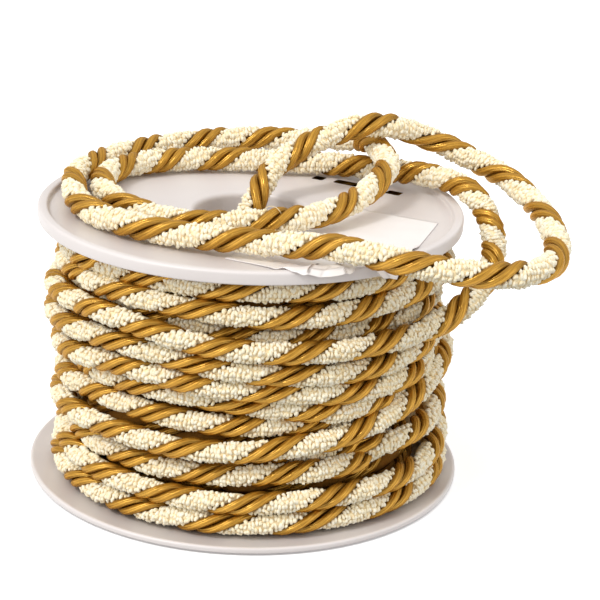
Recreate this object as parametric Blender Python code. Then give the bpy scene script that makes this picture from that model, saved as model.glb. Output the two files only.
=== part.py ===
"""An upholstery cord on its flanged spool: wound turns, a loose end laid in rings on top, and a bare label.

Lengths are millimetres, turned to metres when a mesh is made. The spool's axis is Z, with its underside at 0.
Angles are degrees counter-clockwise from +X, seen from above; the front of the spool is at 270.
"""
import math
from collections import namedtuple

import bmesh
import bpy
import numpy as np

MM = 0.001
GAP = 0.3                 # between two pieces that touch

# The cord
CORD_D = 7.5
CORD_R = CORD_D / 2
LAY = 22.0                # length of cord in one full twist
STEPS_PER_TWIST = 8       # places along the loose cord for each twist
FIRST_TWIST = 200.0       # where the gold pair faces as the cord leaves the pack, in degrees
CURVE_SAMPLES = 24        # places read between two points of the route

# The spool
BORE_R = 16.0
HUB_WALL = 2.0
LOWER_R = 62.5
LOWER_THICK = 2.2
UPPER_R = 60.0
UPPER_UNDER = 75.4
UPPER_FACE = 77.4
LIP_TOP = 79.0
LIP_WIDE = 2.5
EDGE = 0.4                # broken edges of the flanges
BORE_ROUND = 1.5          # rounding where the top face meets the bore
FLANGE_SIDES = 64
SHARP_EDGE = 35           # degrees between faces from which an edge shades sharp

# The wound pack
PACK_COLUMNS = 60
PACK_FLOOR = 51.0         # radius of the turns underneath, seen in the gaps
ROWS_BETWEEN = (0.25, 0.5, 0.75)
LEAST_ROW = 0.35
END_ROW = 0.7             # share of the cord's radius from the first and last turns' middles to the next row
EVEN_OUT = (-12, -6, 0, 6, 12)

# The label
LABEL_THICK = 0.4
LABEL_GRID = 13
LABEL_RAMP = 3.5          # how far inside the lip the paper starts to rise
LABEL_DROOP = 0.85        # fall for each mm past the rim

# Each outer turn of the pack, bottom to top: its centre's radius and its height, at angles round the spool.
RADIUS_AT = (90, 187, 230, 300, 325, 355)
HEIGHT_AT = (90, 180, 210, 235, 260, 285, 310, 340, 355)
Turn = namedtuple("Turn", "name radii heights")
TURNS = (
    Turn("bottom",
         radii=(51.0, 51.5, 53.2, 53.6, 55.0, 55.3),
         heights=(5.9, 5.9, 5.9, 5.9, 5.9, 5.9, 5.9, 5.9, 5.9)),
    Turn("second",
         radii=(52.0, 50.8, 54.0, 54.5, 55.5, 56.0),
         heights=(12.0, 12.0, 13.0, 12.2, 11.7, 12.0, 12.0, 11.6, 14.0)),
    Turn("third",
         radii=(51.3, 50.3, 52.0, 52.5, 49.0, 49.5),
         heights=(17.5, 16.2, 18.0, 18.7, 17.8, 19.4, 19.8, 18.6, 19.5)),
    Turn("fourth",
         radii=(50.0, 47.0, 47.5, 48.5, 54.0, 54.5),
         heights=(23.0, 20.5, 22.0, 22.8, 22.5, 23.3, 22.4, 22.6, 24.5)),
    Turn("crossing",
         radii=(53.4, 53.0, 53.2, 54.0, 54.5, 55.5),
         heights=(24.0, 22.5, 25.2, 26.6, 25.8, 27.4, 30.8, 37.0, 41.0)),
    Turn("fifth",
         radii=(52.3, 51.3, 52.0, 51.0, 49.0, 50.5),
         heights=(30.5, 29.5, 33.2, 33.9, 33.0, 32.6, 32.5, 31.0, 30.5)),
    Turn("sixth",
         radii=(53.0, 48.5, 52.5, 53.0, 52.0, 52.5),
         heights=(36.0, 34.5, 38.5, 40.8, 40.5, 37.6, 35.4, 36.0, 36.0)),
    Turn("seventh",
         radii=(53.5, 52.0, 53.5, 53.5, 53.5, 53.5),
         heights=(42.0, 37.5, 42.7, 46.8, 44.9, 43.2, 40.9, 40.8, 41.0)),
    Turn("eighth",
         radii=(54.0, 55.0, 54.5, 54.0, 54.0, 53.5),
         heights=(48.0, 47.0, 50.5, 53.2, 50.7, 48.4, 47.2, 48.0, 48.0)),
    Turn("last",
         radii=(56.0, 54.5, 56.0, 56.0, 53.0, 44.0),
         heights=(54.0, 54.5, 59.0, 60.8, 56.3, 55.2, 54.6, 54.7, 54.7)),
    Turn("deep",
         radii=(51.5, 49.0, 49.0, 49.3, 49.5, 53.7),
         heights=(59.0, 58.5, 61.5, 61.5, 57.8, 56.9, 56.5, 56.6, 56.5)),
    Turn("under_top",
         radii=(54.0, 50.5, 53.0, 54.0, 54.0, 54.0),
         heights=(64.5, 63.5, 65.2, 66.8, 65.8, 63.8, 65.3, 66.0, 65.5)),
    Turn("top",
         radii=(53.0, 50.5, 53.0, 53.0, 53.0, 53.0),
         heights=(70.5, 70.0, 70.8, 71.4, 71.6, 71.6, 70.8, 70.3, 70.3)),
)

# The loose end's centre line, from the pack's front right to the free end in the bore.
ROUTE = [
    (50.4, -29.6, 54.7), (56.6, -24.2, 56.8), (61.6, -20.4, 60.0), (65.4, -16.4, 63.8), (67.8, -11.6, 67.6),
    (68.6, -6.0, 71.2), (68.0, -0.4, 75.0), (65.8, 5.8, 79.0), (61.4, 11.6, 82.4), (54.4, 18.6, 83.4),
    (46.0, 25.2, 82.8), (38.0, 30.2, 81.8), (29.0, 34.4, 81.5), (19.0, 36.4, 81.5), (7.0, 36.2, 81.5),
    (-6.0, 36.4, 81.5), (-18.0, 35.0, 81.5), (-29.0, 30.8, 81.5), (-37.4, 24.4, 81.5), (-42.0, 15.8, 81.5),
    (-42.8, 5.4, 81.5), (-40.6, -3.6, 81.5), (-35.8, -13.0, 81.5), (-28.2, -21.6, 81.5), (-18.6, -27.4, 81.5),
    (-7.0, -28.6, 81.7), (4.6, -26.8, 82.3), (14.8, -22.8, 82.5), (23.4, -15.6, 83.0), (31.2, -5.8, 84.6),
    (36.2, 4.4, 86.6), (38.4, 14.0, 87.9), (37.2, 23.0, 88.6), (34.0, 32.0, 89.5), (29.8, 42.0, 87.8),
    (22.6, 50.2, 85.4), (12.4, 54.6, 83.5), (1.0, 56.2, 83.1), (-10.0, 54.4, 82.9), (-21.6, 49.6, 82.5),
    (-32.4, 42.6, 82.3), (-41.8, 32.2, 82.3), (-47.8, 21.6, 82.3), (-50.9, 11.8, 82.1), (-50.4, 1.2, 81.7),
    (-47.2, -13.4, 81.6), (-40.0, -24.8, 81.5), (-28.6, -33.8, 81.5), (-16.0, -39.6, 81.7), (-2.8, -43.8, 82.3),
    (11.0, -47.2, 82.6), (22.6, -51.0, 83.7), (33.0, -57.6, 84.1), (43.6, -60.2, 83.0), (54.0, -60.4, 81.6),
    (64.4, -58.8, 80.6), (73.4, -54.2, 80.1), (79.6, -46.6, 79.9), (82.4, -36.0, 80.2), (83.0, -23.0, 80.7),
    (81.6, -7.0, 81.5), (78.2, 8.0, 82.5), (71.8, 21.0, 84.6), (62.8, 28.8, 87.2), (54.4, 31.9, 90.3),
    (45.8, 31.0, 93.6), (38.0, 26.2, 96.5), (29.8, 22.4, 96.8), (21.6, 20.4, 94.4), (13.6, 17.2, 91.2),
    (7.4, 12.4, 88.0), (3.6, 6.6, 84.4), (1.0, 1.8, 80.0), (-1.2, -1.6, 74.4), (-2.8, -4.0, 67.6),
    (-3.4, -5.0, 58.4),
]

# The cord's section as angle and share of the diameter: two gold plies side by side, a fat cream ply opposite.
SECTION = ((0, 0.40), (50, 0.50), (100, 0.42), (135, 0.50), (180, 0.50), (225, 0.50), (260, 0.42), (310, 0.50))

# The three slots through the upper flange: centre, length along their line, width across it.
Slot = namedtuple("Slot", "x y long wide")
SLOTS = (Slot(19.0, 34.0, 3.6, 3.6), Slot(28.0, 29.5, 9.5, 3.6), Slot(41.0, 21.7, 4.6, 3.6))
SLOT_LINE = -29.0         # direction of the line that they stand on

# The label's corners as it lies: far right, far left under the cord, near left, and the drooping tip.
LABEL_CORNERS = ((52.5, -6.5), (23.0, 7.0), (-4.0, -46.5), (38.9, -51.5))


def clear_scene():
    for obj in list(bpy.data.objects):
        bpy.data.objects.remove(obj, do_unlink=True)


def finish(name, colour, roughness):
    """A plain material: colour as linear red, green and blue."""
    material = bpy.data.materials.new(name)
    material.use_nodes = True
    shader = material.node_tree.nodes["Principled BSDF"]
    shader.inputs["Base Color"].default_value = (*colour, 1.0)
    shader.inputs["Roughness"].default_value = roughness
    shader.inputs["Metallic"].default_value = 0.0
    return material


def add_object(name, mesh, material):
    obj = bpy.data.objects.new(name, mesh)
    bpy.context.scene.collection.objects.link(obj)
    mesh.materials.append(material)
    return obj


def ring_solid(name, sections, material):
    """A closed ring round Z. Its sections have equal numbers of (radius, height) points, anticlockwise."""
    shape = bmesh.new()
    loops = []
    for k, section in enumerate(sections):
        angle = 2 * math.pi * k / len(sections)
        loops.append([
            shape.verts.new((r * math.cos(angle) * MM, r * math.sin(angle) * MM, z * MM)) for r, z in section
        ])
    for k, loop in enumerate(loops):
        after = loops[(k + 1) % len(loops)]
        for i in range(len(loop)):
            j = (i + 1) % len(loop)
            shape.faces.new((loop[i], after[i], after[j], loop[j]))
    bmesh.ops.recalc_face_normals(shape, faces=shape.faces)
    mesh = bpy.data.meshes.new(name)
    shape.to_mesh(mesh)
    shape.free()
    mesh.shade_smooth()
    mesh.set_sharp_from_angle(angle=math.radians(SHARP_EDGE))
    return add_object(name, mesh, material)


def turned(name, section, material):
    return ring_solid(name, [section] * FLANGE_SIDES, material)


def lower_flange(material):
    section = (
        (BORE_R, 0.0),
        (LOWER_R - EDGE, 0.0),
        (LOWER_R, EDGE),
        (LOWER_R, LOWER_THICK - EDGE),
        (LOWER_R - EDGE, LOWER_THICK),
        (BORE_R, LOWER_THICK),
    )
    return turned("lower_flange", section, material)


def hub_tube(material):
    low = LOWER_THICK + GAP
    high = UPPER_UNDER - GAP
    section = ((BORE_R, low), (BORE_R + HUB_WALL, low), (BORE_R + HUB_WALL, high), (BORE_R, high))
    return turned("hub_tube", section, material)


def upper_flange(material):
    lip_in = UPPER_R - LIP_WIDE
    round_mid = BORE_ROUND * (1 - math.sqrt(0.5))
    section = (
        (BORE_R, UPPER_UNDER),
        (UPPER_R - EDGE, UPPER_UNDER),
        (UPPER_R, UPPER_UNDER + EDGE),
        (UPPER_R, LIP_TOP - EDGE),
        (UPPER_R - EDGE, LIP_TOP),
        (lip_in + EDGE, LIP_TOP),
        (lip_in, LIP_TOP - EDGE),
        (lip_in - EDGE, UPPER_FACE),
        (BORE_R + BORE_ROUND, UPPER_FACE),
        (BORE_R + round_mid, UPPER_FACE - round_mid),
        (BORE_R, UPPER_FACE - BORE_ROUND),
    )
    flange = turned("upper_flange", section, material)
    for number, slot in enumerate(SLOTS, start=1):
        cut_slot(flange, number, slot)
    return flange


def cut_slot(flange, number, slot):
    shape = bmesh.new()
    bmesh.ops.create_cube(shape, size=1.0)
    tall = 3 * (UPPER_FACE - UPPER_UNDER)
    bmesh.ops.scale(shape, vec=(slot.long * MM, slot.wide * MM, tall * MM), verts=shape.verts)
    mesh = bpy.data.meshes.new(f"slot_cutter_{number}")
    shape.to_mesh(mesh)
    shape.free()
    cutter = bpy.data.objects.new(f"slot_cutter_{number}", mesh)
    bpy.context.scene.collection.objects.link(cutter)
    cutter.location = (slot.x * MM, slot.y * MM, (UPPER_UNDER + UPPER_FACE) / 2 * MM)
    cutter.rotation_euler = (0, 0, math.radians(SLOT_LINE))
    cutter.hide_render = True
    cutter.display_type = "WIRE"
    cut = flange.modifiers.new(f"slot_{number}", "BOOLEAN")
    cut.operation = "DIFFERENCE"
    cut.object = cutter


def around(angle, stations, values):
    """A turn's radius or height at an angle, evened out over a few degrees so that its stations don't show."""
    nearby = [angle + step for step in EVEN_OUT]
    return float(np.mean(np.interp(nearby, stations, values, period=360)))


def pack_section(angle):
    """The pack's section at one angle: its hub side, its flat ends and the bulge of each outer turn."""
    low = LOWER_THICK + GAP
    high = UPPER_UNDER - GAP
    turns = sorted(
        (around(angle, HEIGHT_AT, turn.heights), around(angle, RADIUS_AT, turn.radii)) for turn in TURNS
    )
    heights = [low, turns[0][0] - END_ROW * CORD_R]
    for (z, _), (next_z, _) in zip(turns, turns[1:]):
        heights += [z] + [z + share * (next_z - z) for share in ROWS_BETWEEN]
    heights += [turns[-1][0], turns[-1][0] + END_ROW * CORD_R, high]
    for k in range(1, len(heights)):
        heights[k] = max(heights[k], heights[k - 1] + LEAST_ROW)
    heights[-1] = high
    outside = []
    for z in heights:
        bulges = [r + math.sqrt(CORD_R ** 2 - (z - at) ** 2) for at, r in turns if abs(z - at) < CORD_R]
        outside.append((max(bulges + [PACK_FLOOR]), z))
    hub_side = BORE_R + HUB_WALL + GAP
    return [(hub_side, low)] + outside + [(hub_side, high)]


def wound_cord(material):
    sections = [pack_section(360 * k / PACK_COLUMNS) for k in range(PACK_COLUMNS)]
    return ring_solid("wound_cord", sections, material)


def smooth_line(points, step):
    """A centripetal Catmull-Rom curve through the points, read at even steps along its length."""
    points = np.array(points, float)
    ends = 2 * points[0] - points[1], 2 * points[-1] - points[-2]
    points = np.vstack([ends[0], points, ends[1]])
    dense = []
    for p0, p1, p2, p3 in zip(points, points[1:], points[2:], points[3:]):
        t1 = math.sqrt(np.linalg.norm(p1 - p0))
        t2 = t1 + math.sqrt(np.linalg.norm(p2 - p1))
        t3 = t2 + math.sqrt(np.linalg.norm(p3 - p2))
        for t in np.linspace(t1, t2, CURVE_SAMPLES, endpoint=False):
            a1 = (t1 - t) / t1 * p0 + t / t1 * p1
            a2 = (t2 - t) / (t2 - t1) * p1 + (t - t1) / (t2 - t1) * p2
            a3 = (t3 - t) / (t3 - t2) * p2 + (t - t2) / (t3 - t2) * p3
            b1 = (t2 - t) / t2 * a1 + t / t2 * a2
            b2 = (t3 - t) / (t3 - t1) * a2 + (t - t1) / (t3 - t1) * a3
            dense.append((t2 - t) / (t2 - t1) * b1 + (t - t1) / (t2 - t1) * b2)
    dense = np.array(dense + [points[-2]])
    run = np.concatenate([[0.0], np.cumsum(np.linalg.norm(np.diff(dense, axis=0), axis=1))])
    count = round(run[-1] / step) + 1
    places = np.linspace(0, run[-1], count)
    return np.stack([np.interp(places, run, dense[:, axis]) for axis in range(3)], axis=1), places


def cord_section():
    """The twisted cord's section as a closed curve, used as the bevel of the loose cord."""
    data = bpy.data.curves.new("cord_section", "CURVE")
    data.dimensions = "2D"
    spline = data.splines.new("POLY")
    spline.points.add(len(SECTION) - 1)
    for point, (angle, share) in zip(spline.points, reversed(SECTION)):
        reach = share * CORD_D * MM
        turn = math.radians(angle)
        point.co = (reach * math.cos(turn), reach * math.sin(turn), 0.0, 1.0)
    spline.use_cyclic_u = True
    section = bpy.data.objects.new("cord_section", data)
    bpy.context.scene.collection.objects.link(section)
    section.hide_render = True
    section.display_type = "WIRE"
    return section


def loose_cord(material):
    places, run = smooth_line(ROUTE, LAY / STEPS_PER_TWIST)
    data = bpy.data.curves.new("loose_cord", "CURVE")
    data.dimensions = "3D"
    data.bevel_mode = "OBJECT"
    data.bevel_object = cord_section()
    data.use_fill_caps = True
    spline = data.splines.new("POLY")
    spline.points.add(len(places) - 1)
    for point, place, along in zip(spline.points, places, run):
        point.co = (*(place * MM), 1.0)
        point.tilt = math.radians(FIRST_TWIST) - 2 * math.pi * along / LAY
    return add_object("loose_cord", data, material)


def label_height(x, y):
    """The middle of the paper over the flange's face, up over the lip and down past the rim."""
    r = math.hypot(x, y)
    on_face = UPPER_FACE + GAP + LABEL_THICK / 2
    rise = LIP_TOP - UPPER_FACE
    top = UPPER_R - LIP_WIDE - EDGE
    share = min(max((r - (top - LABEL_RAMP)) / LABEL_RAMP, 0.0), 1.0)
    past = max(r - UPPER_R - 2 * EDGE, 0.0)
    return on_face + rise * share * share * (3 - 2 * share) - LABEL_DROOP * past


def paper_label(material):
    far_right, far_left, near_left, near_right = (np.array(corner) for corner in LABEL_CORNERS)
    shape = bmesh.new()
    rows = []
    for i in range(LABEL_GRID):
        v = i / (LABEL_GRID - 1)
        left = far_left + v * (near_left - far_left)
        right = far_right + v * (near_right - far_right)
        row = []
        for j in range(LABEL_GRID):
            x, y = left + j / (LABEL_GRID - 1) * (right - left)
            row.append(shape.verts.new((x * MM, y * MM, label_height(x, y) * MM)))
        rows.append(row)
    for low, high in zip(rows[1:], rows):
        for j in range(LABEL_GRID - 1):
            shape.faces.new((low[j], low[j + 1], high[j + 1], high[j]))
    mesh = bpy.data.meshes.new("paper_label")
    shape.to_mesh(mesh)
    shape.free()
    label = add_object("paper_label", mesh, material)
    thick = label.modifiers.new("paper", "SOLIDIFY")
    thick.thickness = LABEL_THICK * MM
    thick.offset = 0.0
    return label


def main():
    clear_scene()
    plastic = finish("moulded white plastic", (0.78, 0.78, 0.77), 0.4)
    cord = finish("gold and cream cord", (0.62, 0.42, 0.17), 0.7)
    paper = finish("white paper", (0.86, 0.85, 0.83), 0.6)
    lower_flange(plastic)
    hub_tube(plastic)
    upper_flange(plastic)
    wound_cord(cord)
    loose_cord(cord)
    paper_label(paper)


main()
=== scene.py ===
"""Upholstery cord of two gold plies and a cream loop ply, wound on a white flanged spool, one end loose.

The cord is laid along the same lines as its solids, ply by ply, by geometry nodes that follow a guide: a mesh
of points that carries the side and the twist of the cord. The spool's solids are replaced by finer rings of
the same shape, and the label by a thin creased sheet.
"""

import math
from collections import namedtuple
from itertools import combinations

import bmesh
import bpy
import numpy as np
from mathutils import Matrix, Vector


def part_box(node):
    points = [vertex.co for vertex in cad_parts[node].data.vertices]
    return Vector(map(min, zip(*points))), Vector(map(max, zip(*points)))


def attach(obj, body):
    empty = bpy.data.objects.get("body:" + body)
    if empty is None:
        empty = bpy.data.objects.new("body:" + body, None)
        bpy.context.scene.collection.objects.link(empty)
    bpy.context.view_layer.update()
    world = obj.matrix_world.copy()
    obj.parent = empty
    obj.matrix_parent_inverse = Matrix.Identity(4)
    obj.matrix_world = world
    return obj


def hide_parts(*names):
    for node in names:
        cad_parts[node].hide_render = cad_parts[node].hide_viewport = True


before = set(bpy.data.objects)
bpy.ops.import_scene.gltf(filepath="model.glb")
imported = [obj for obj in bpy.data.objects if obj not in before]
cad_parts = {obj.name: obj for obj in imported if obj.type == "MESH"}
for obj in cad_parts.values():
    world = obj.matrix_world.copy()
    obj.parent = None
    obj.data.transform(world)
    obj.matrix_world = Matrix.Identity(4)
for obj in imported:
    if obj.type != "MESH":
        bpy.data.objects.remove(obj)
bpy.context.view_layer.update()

MM = 0.001
SEED = 7
LOOSE_SEED = SEED + 9

# Camera: read off the rims of both flanges in the photograph, whose centre is the camera's own
IMAGE_SIDE = 600
FOCAL_PIXELS = 1939.5
SENSOR = 36.0
CAMERA_DISTANCE = 0.5577
CAMERA_TARGET = (0.0148, 0.0, 0.0506)
CAMERA_ELEVATION = math.radians(19.78)
CAMERA_ROLL = math.radians(2.44)

# The cord: two gold plies side by side, and one broad cream ply that fills the rest of its round
CORD_D = 0.0075
CORD_WIDE = CORD_D / MM
LAY = 0.022                # length of cord in one full twist
GOLD_R = 0.184 * CORD_D
GOLD_REACH = 0.312 * CORD_D
GOLD_SPREAD = math.radians(40.5)
LOBES, LOBE_DEPTH, LOBE_LAY = 3, 0.03, 0.045      # a faint swell that turns round in each gold ply
BUNDLES = 8                # bundles of filament that show round a gold ply
CREAM_FRONT_R = 0.395 * CORD_D
CREAM_BACK_R = 0.12 * CORD_D
CREAM_BACK_TO, CREAM_FRONT_FROM = -0.35, 0.3      # where round it back ends and front begins, as a cosine
GUIDE_STEP = 0.0015
PACK_FLATTEN, LOOSE_FLATTEN = 0.86, 1.0           # wound turns press each other flat
PACK_SQUEEZE = 0.90        # how near two turns may come, as a share of a turn's width
MOST_SUNK, MOST_RAISED = 1.4, 0.8      # how far a turn may be pressed in or out of its place, in mm
SETTLE_ROUNDS, SETTLE_SHARE = 40, 0.2  # how often they are pressed apart, and by what share each time
# Sides of a gold ply and of the cream body in each stretch of cord
WOUND_SIDES, UNDER_SIDES, LOOSE_SIDES = (12, 8), (8, 8), (14, 10)

# The loops of the cream ply
LOOP_PITCH = 0.00097
LOOPS_AROUND = 6
LOOP_SPREAD = math.radians(96)
LOOP_MIDDLE_R = 0.415 * CORD_D
LOOP_EDGE_R = 0.355 * CORD_D
LOOP_EDGE, LOOP_MIDDLE = 0.0, 0.65     # where round the ply each of those holds, as a cosine
LOOP_LONG = 0.0021
LOOP_WIDE = 0.00118
LOOP_HIGH = 0.00140
LOOP_BEND = 0.00040
# How single loops differ: in place, as shares of a step, of the pitch and of the radius, in size, in lean in
# radians and in tint
LOOP_DRAWS = (
    ("slip round", -0.28, 0.28), ("slip along", -0.30, 0.30), ("lift", -0.08, 0.06), ("long", 0.75, 1.20),
    ("wide", 0.85, 1.25), ("high", 0.75, 1.25), ("lean", -0.45, 0.45), ("tint", 0.0, 1.0),
)
ROW_LIFT = (-0.035, 0.03)
BARE_UNDER = -0.0008       # no loops stand further than this on the side that lies against the turns beneath

# The spool, from its own solids: the upper flange's rim, face and lip in metres, and all else in millimetres
FACE_SUNK, LIP_WIDE = 0.0016, 0.0029
RIM_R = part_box("upper_flange")[1].x
RIM_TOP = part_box("upper_flange")[1].z
FACE_Z = RIM_TOP - FACE_SUNK
LIP_IN = RIM_R - LIP_WIDE
BORE_R = 16.0
UPPER_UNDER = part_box("upper_flange")[0].z / MM
LOWER_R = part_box("lower_flange")[1].x / MM
LOWER_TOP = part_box("lower_flange")[1].z / MM
SPOOL_SIDES = 160
SHARP_EDGE = math.radians(38)          # faces that turn less than this run smoothly into each other
MERGE = 1e-6               # points nearer than this are one
# The lower flange: the recess under it between two rings, its rounded edge and its sunk face
WALL = 2.0                 # of the hub, and of the ring round the bore
FOOT_HIGH, FOOT_DRAFT = 0.8, 0.6
FOOT_IN, FOOT_OUT = 3.0, 1.5           # how far inside the rim the foot ring begins and ends
SKIRT_IN, SKIRT_HIGH, SKIRT_ROUND = 1.3, 0.6, 0.35
BASE_ROUND, BASE_LIP_IN, BASE_LIP_OUT, BASE_SUNK = 0.6, 1.4, 1.1, 0.15
# The upper flange: the ring round its bore and the wall of its rim beside the recess under it, its roundings
RING, RIM_WALL, DRAFT = 2.4, 4.4, 0.2
UNDER_ROUND, LIP_ROUND, FACE_ROUND, BORE_ROUND = 0.5, 0.8, 0.7, 1.5
GROOVE_HIGH, GROOVE = 0.15, 0.2        # round the hub's bore, where its halves meet
# The slots through the upper flange: centre, length along their line, width across it
Slot = namedtuple("Slot", "x y long wide")
SLOTS = (Slot(19.0, 34.0, 3.6, 3.6), Slot(28.0, 29.5, 9.5, 3.6), Slot(41.0, 21.7, 4.6, 3.6))
SLOT_LINE = math.radians(-29.0)        # direction of the line that they stand on
WEB = 0.6                  # thickness of the upper flange's web, over that recess
SLOT_CORNER = 0.6
SLOT_FLARE = 1.5           # how much wider all round a slot is at the underside of the web than at its face

# Light: a white tent, brightest in its roof, with three lamps, round a table lit from below
TENT_UNDER, TENT_WALL, TENT_ROOF = 0.48, 0.62, 1.00
Lamp = namedtuple("Lamp", "name kind place strength settings")
LAMPS = (
    Lamp("key_through_tent", "SUN", (-0.50, -0.45, 0.85), 1.2, {"angle": math.radians(14)}),
    Lamp("soft_fill_left", "AREA", (-0.70, -0.50, 0.30), 2.4, {"shape": "DISK", "size": 0.6}),
    Lamp("soft_fill_right", "AREA", (0.75, -0.35, 0.35), 1.5, {"shape": "DISK", "size": 0.6}),
)
LAMPS_AIM = (0.0, 0.0, 0.04)
WHITE = "FFFFFF"
TABLE_HALF = 3.0
TABLE_DROP = 0.0001        # the table top lies a hair beneath the spool's foot
TABLE_GLOW = 0.32
# Painted contact shadow: where the table's glow fades out, just inside the lower flange's rim
GLOW_FROM, GLOW_FULL = LOWER_R * MM - 0.0008, LOWER_R * MM - 0.0001

# The wound turns, bottom to top, as their solid has them: each centre's radius and height at angles counted
# anticlockwise from +X, the front at 270, then the photograph's columns where a gold pair shows
RADIUS_AT = (90, 187, 230, 300, 325, 355)
HEIGHT_AT = (90, 180, 210, 235, 260, 285, 310, 340, 355)
EVEN_OUT = (-12, -6, 0, 6, 12)
Turn = namedtuple("Turn", "name radii heights gold_seen")
TURNS = (
    Turn("bottom",
         radii=(51.0, 52.2, 54.4, 54.2, 55.6, 55.8),
         heights=(5.9, 5.9, 5.9, 5.9, 5.9, 5.9, 5.9, 5.9, 5.9),
         gold_seen=(85, 135, 218, 315, 397)),
    Turn("second",
         radii=(52.0, 50.8, 54.0, 54.5, 55.5, 56.0),
         heights=(12.0, 12.0, 13.0, 12.2, 11.7, 12.0, 12.0, 11.6, 14.0),
         gold_seen=(107, 165, 247, 330, 397)),
    Turn("third",
         radii=(51.3, 50.3, 52.0, 52.5, 49.0, 49.5),
         heights=(17.5, 16.2, 18.0, 18.7, 17.8, 19.4, 19.8, 18.6, 19.5),
         gold_seen=(75, 137, 205, 285)),
    Turn("fourth",
         radii=(50.0, 47.0, 47.5, 48.5, 54.0, 54.5),
         heights=(23.0, 20.5, 22.0, 22.8, 22.5, 23.3, 22.4, 22.6, 24.5),
         gold_seen=(357, 415)),
    Turn("crossing",
         radii=(53.4, 53.0, 53.2, 54.0, 54.5, 55.5),
         heights=(24.0, 22.5, 25.2, 26.6, 25.8, 27.4, 30.8, 37.0, 41.0),
         gold_seen=(117, 182, 270, 355, 412)),
    Turn("fifth",
         radii=(52.3, 51.3, 52.0, 51.0, 49.0, 50.5),
         heights=(30.5, 29.5, 33.2, 33.9, 33.0, 32.6, 32.5, 31.0, 30.5),
         gold_seen=(103, 158, 237)),
    Turn("sixth",
         radii=(53.0, 48.5, 52.5, 53.0, 52.0, 52.5),
         heights=(36.0, 34.5, 38.5, 40.8, 40.5, 37.6, 35.4, 36.0, 36.0),
         gold_seen=(143, 252, 317)),
    Turn("seventh",
         radii=(53.5, 52.0, 53.5, 53.5, 53.5, 53.5),
         heights=(42.0, 37.5, 42.7, 46.8, 44.9, 43.2, 40.9, 40.8, 41.0),
         gold_seen=(75, 130, 187)),
    Turn("eighth",
         radii=(54.0, 55.0, 54.5, 54.0, 54.0, 53.5),
         heights=(48.0, 47.0, 50.5, 53.2, 50.7, 48.4, 47.2, 48.0, 48.0),
         gold_seen=(68, 122, 200, 285, 375)),
    Turn("deep",
         radii=(51.5, 49.0, 49.0, 49.3, 49.5, 53.7),
         heights=(59.0, 58.5, 61.5, 61.5, 57.8, 56.9, 56.5, 56.6, 56.5),
         gold_seen=(230, 308, 375)),
    Turn("under_top",
         radii=(54.0, 50.5, 53.0, 54.0, 54.0, 54.0),
         heights=(64.5, 63.5, 65.2, 66.8, 65.8, 63.8, 65.3, 66.0, 65.5),
         gold_seen=(65, 197, 295, 362)),
    Turn("top",
         radii=(53.0, 50.5, 53.0, 53.0, 53.0, 53.0),
         heights=(70.5, 70.0, 70.8, 71.4, 71.6, 71.6, 70.8, 70.3, 70.3),
         gold_seen=(148, 238, 325)),
)
# The last turn comes up out of the pack at the back and leaves it at the front right as the loose end
LAST = Turn("last",
            radii=(44.0, 49.0, 56.0, 54.5, 56.0, 56.0),
            heights=(54.0, 54.5, 59.0, 60.8, 56.3, 55.2, 54.6, 54.7, 54.7),
            gold_seen=(50, 95, 150, 215, 300, 380))
LAST_RADIUS_AT = (36, 60, 100, 187, 230, 316)

# Each turn passes to the one above it across the back
CHANGE_FROM, CHANGE_TO = 30, 150
LEAD_FROM = 60             # where the first turn climbs in from the layer below
COLUMNS = 225              # guide points in a turn
DIVE = 6.0                 # how far the two hidden ends sink into the pack
FRONT = (185, 352)         # angles between which a turn shows in the photograph
# The turns drift by a little in millimetres, fully at the back, and less where the photograph has set them
BACK, BACK_HALF = 90, 75
WANDER, WANDER_KNOTS, WANDER_FRONT, WANDER_HIGH = 0.35, 14, 0.15, 0.6
# The last turn's end is drawn anew with the loose end, from every eighth of its last points
JOIN, JOIN_STEP = 40, 8
NEXT_MARK = (0.35, 3.2)    # how soon and how late the next gold pair may follow, in lays
FACETS = 24                # straight pieces between two points of a smooth line

# The turns beneath, which show only in gaps and through the slots
UNDER_R = 46.0
UNDER_PITCH = 5.8
UNDER_TOP, UNDER_BOTTOM = 73.2, 6.0
SPIRAL_R = 50.8            # the top of that layer reaches further out, close under the upper flange
SPIRAL_STEP, CLIMB_STEP = 4.0, 3.7     # degrees between its guide points
SPIRAL_FALL = 90           # degrees in which it draws in from the one radius to the other
UNDER_CREAM_R = 0.48 * CORD_D          # its cream ply carries no loops, so its body is as thick as both
UNDER_START_R = 24.0

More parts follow.
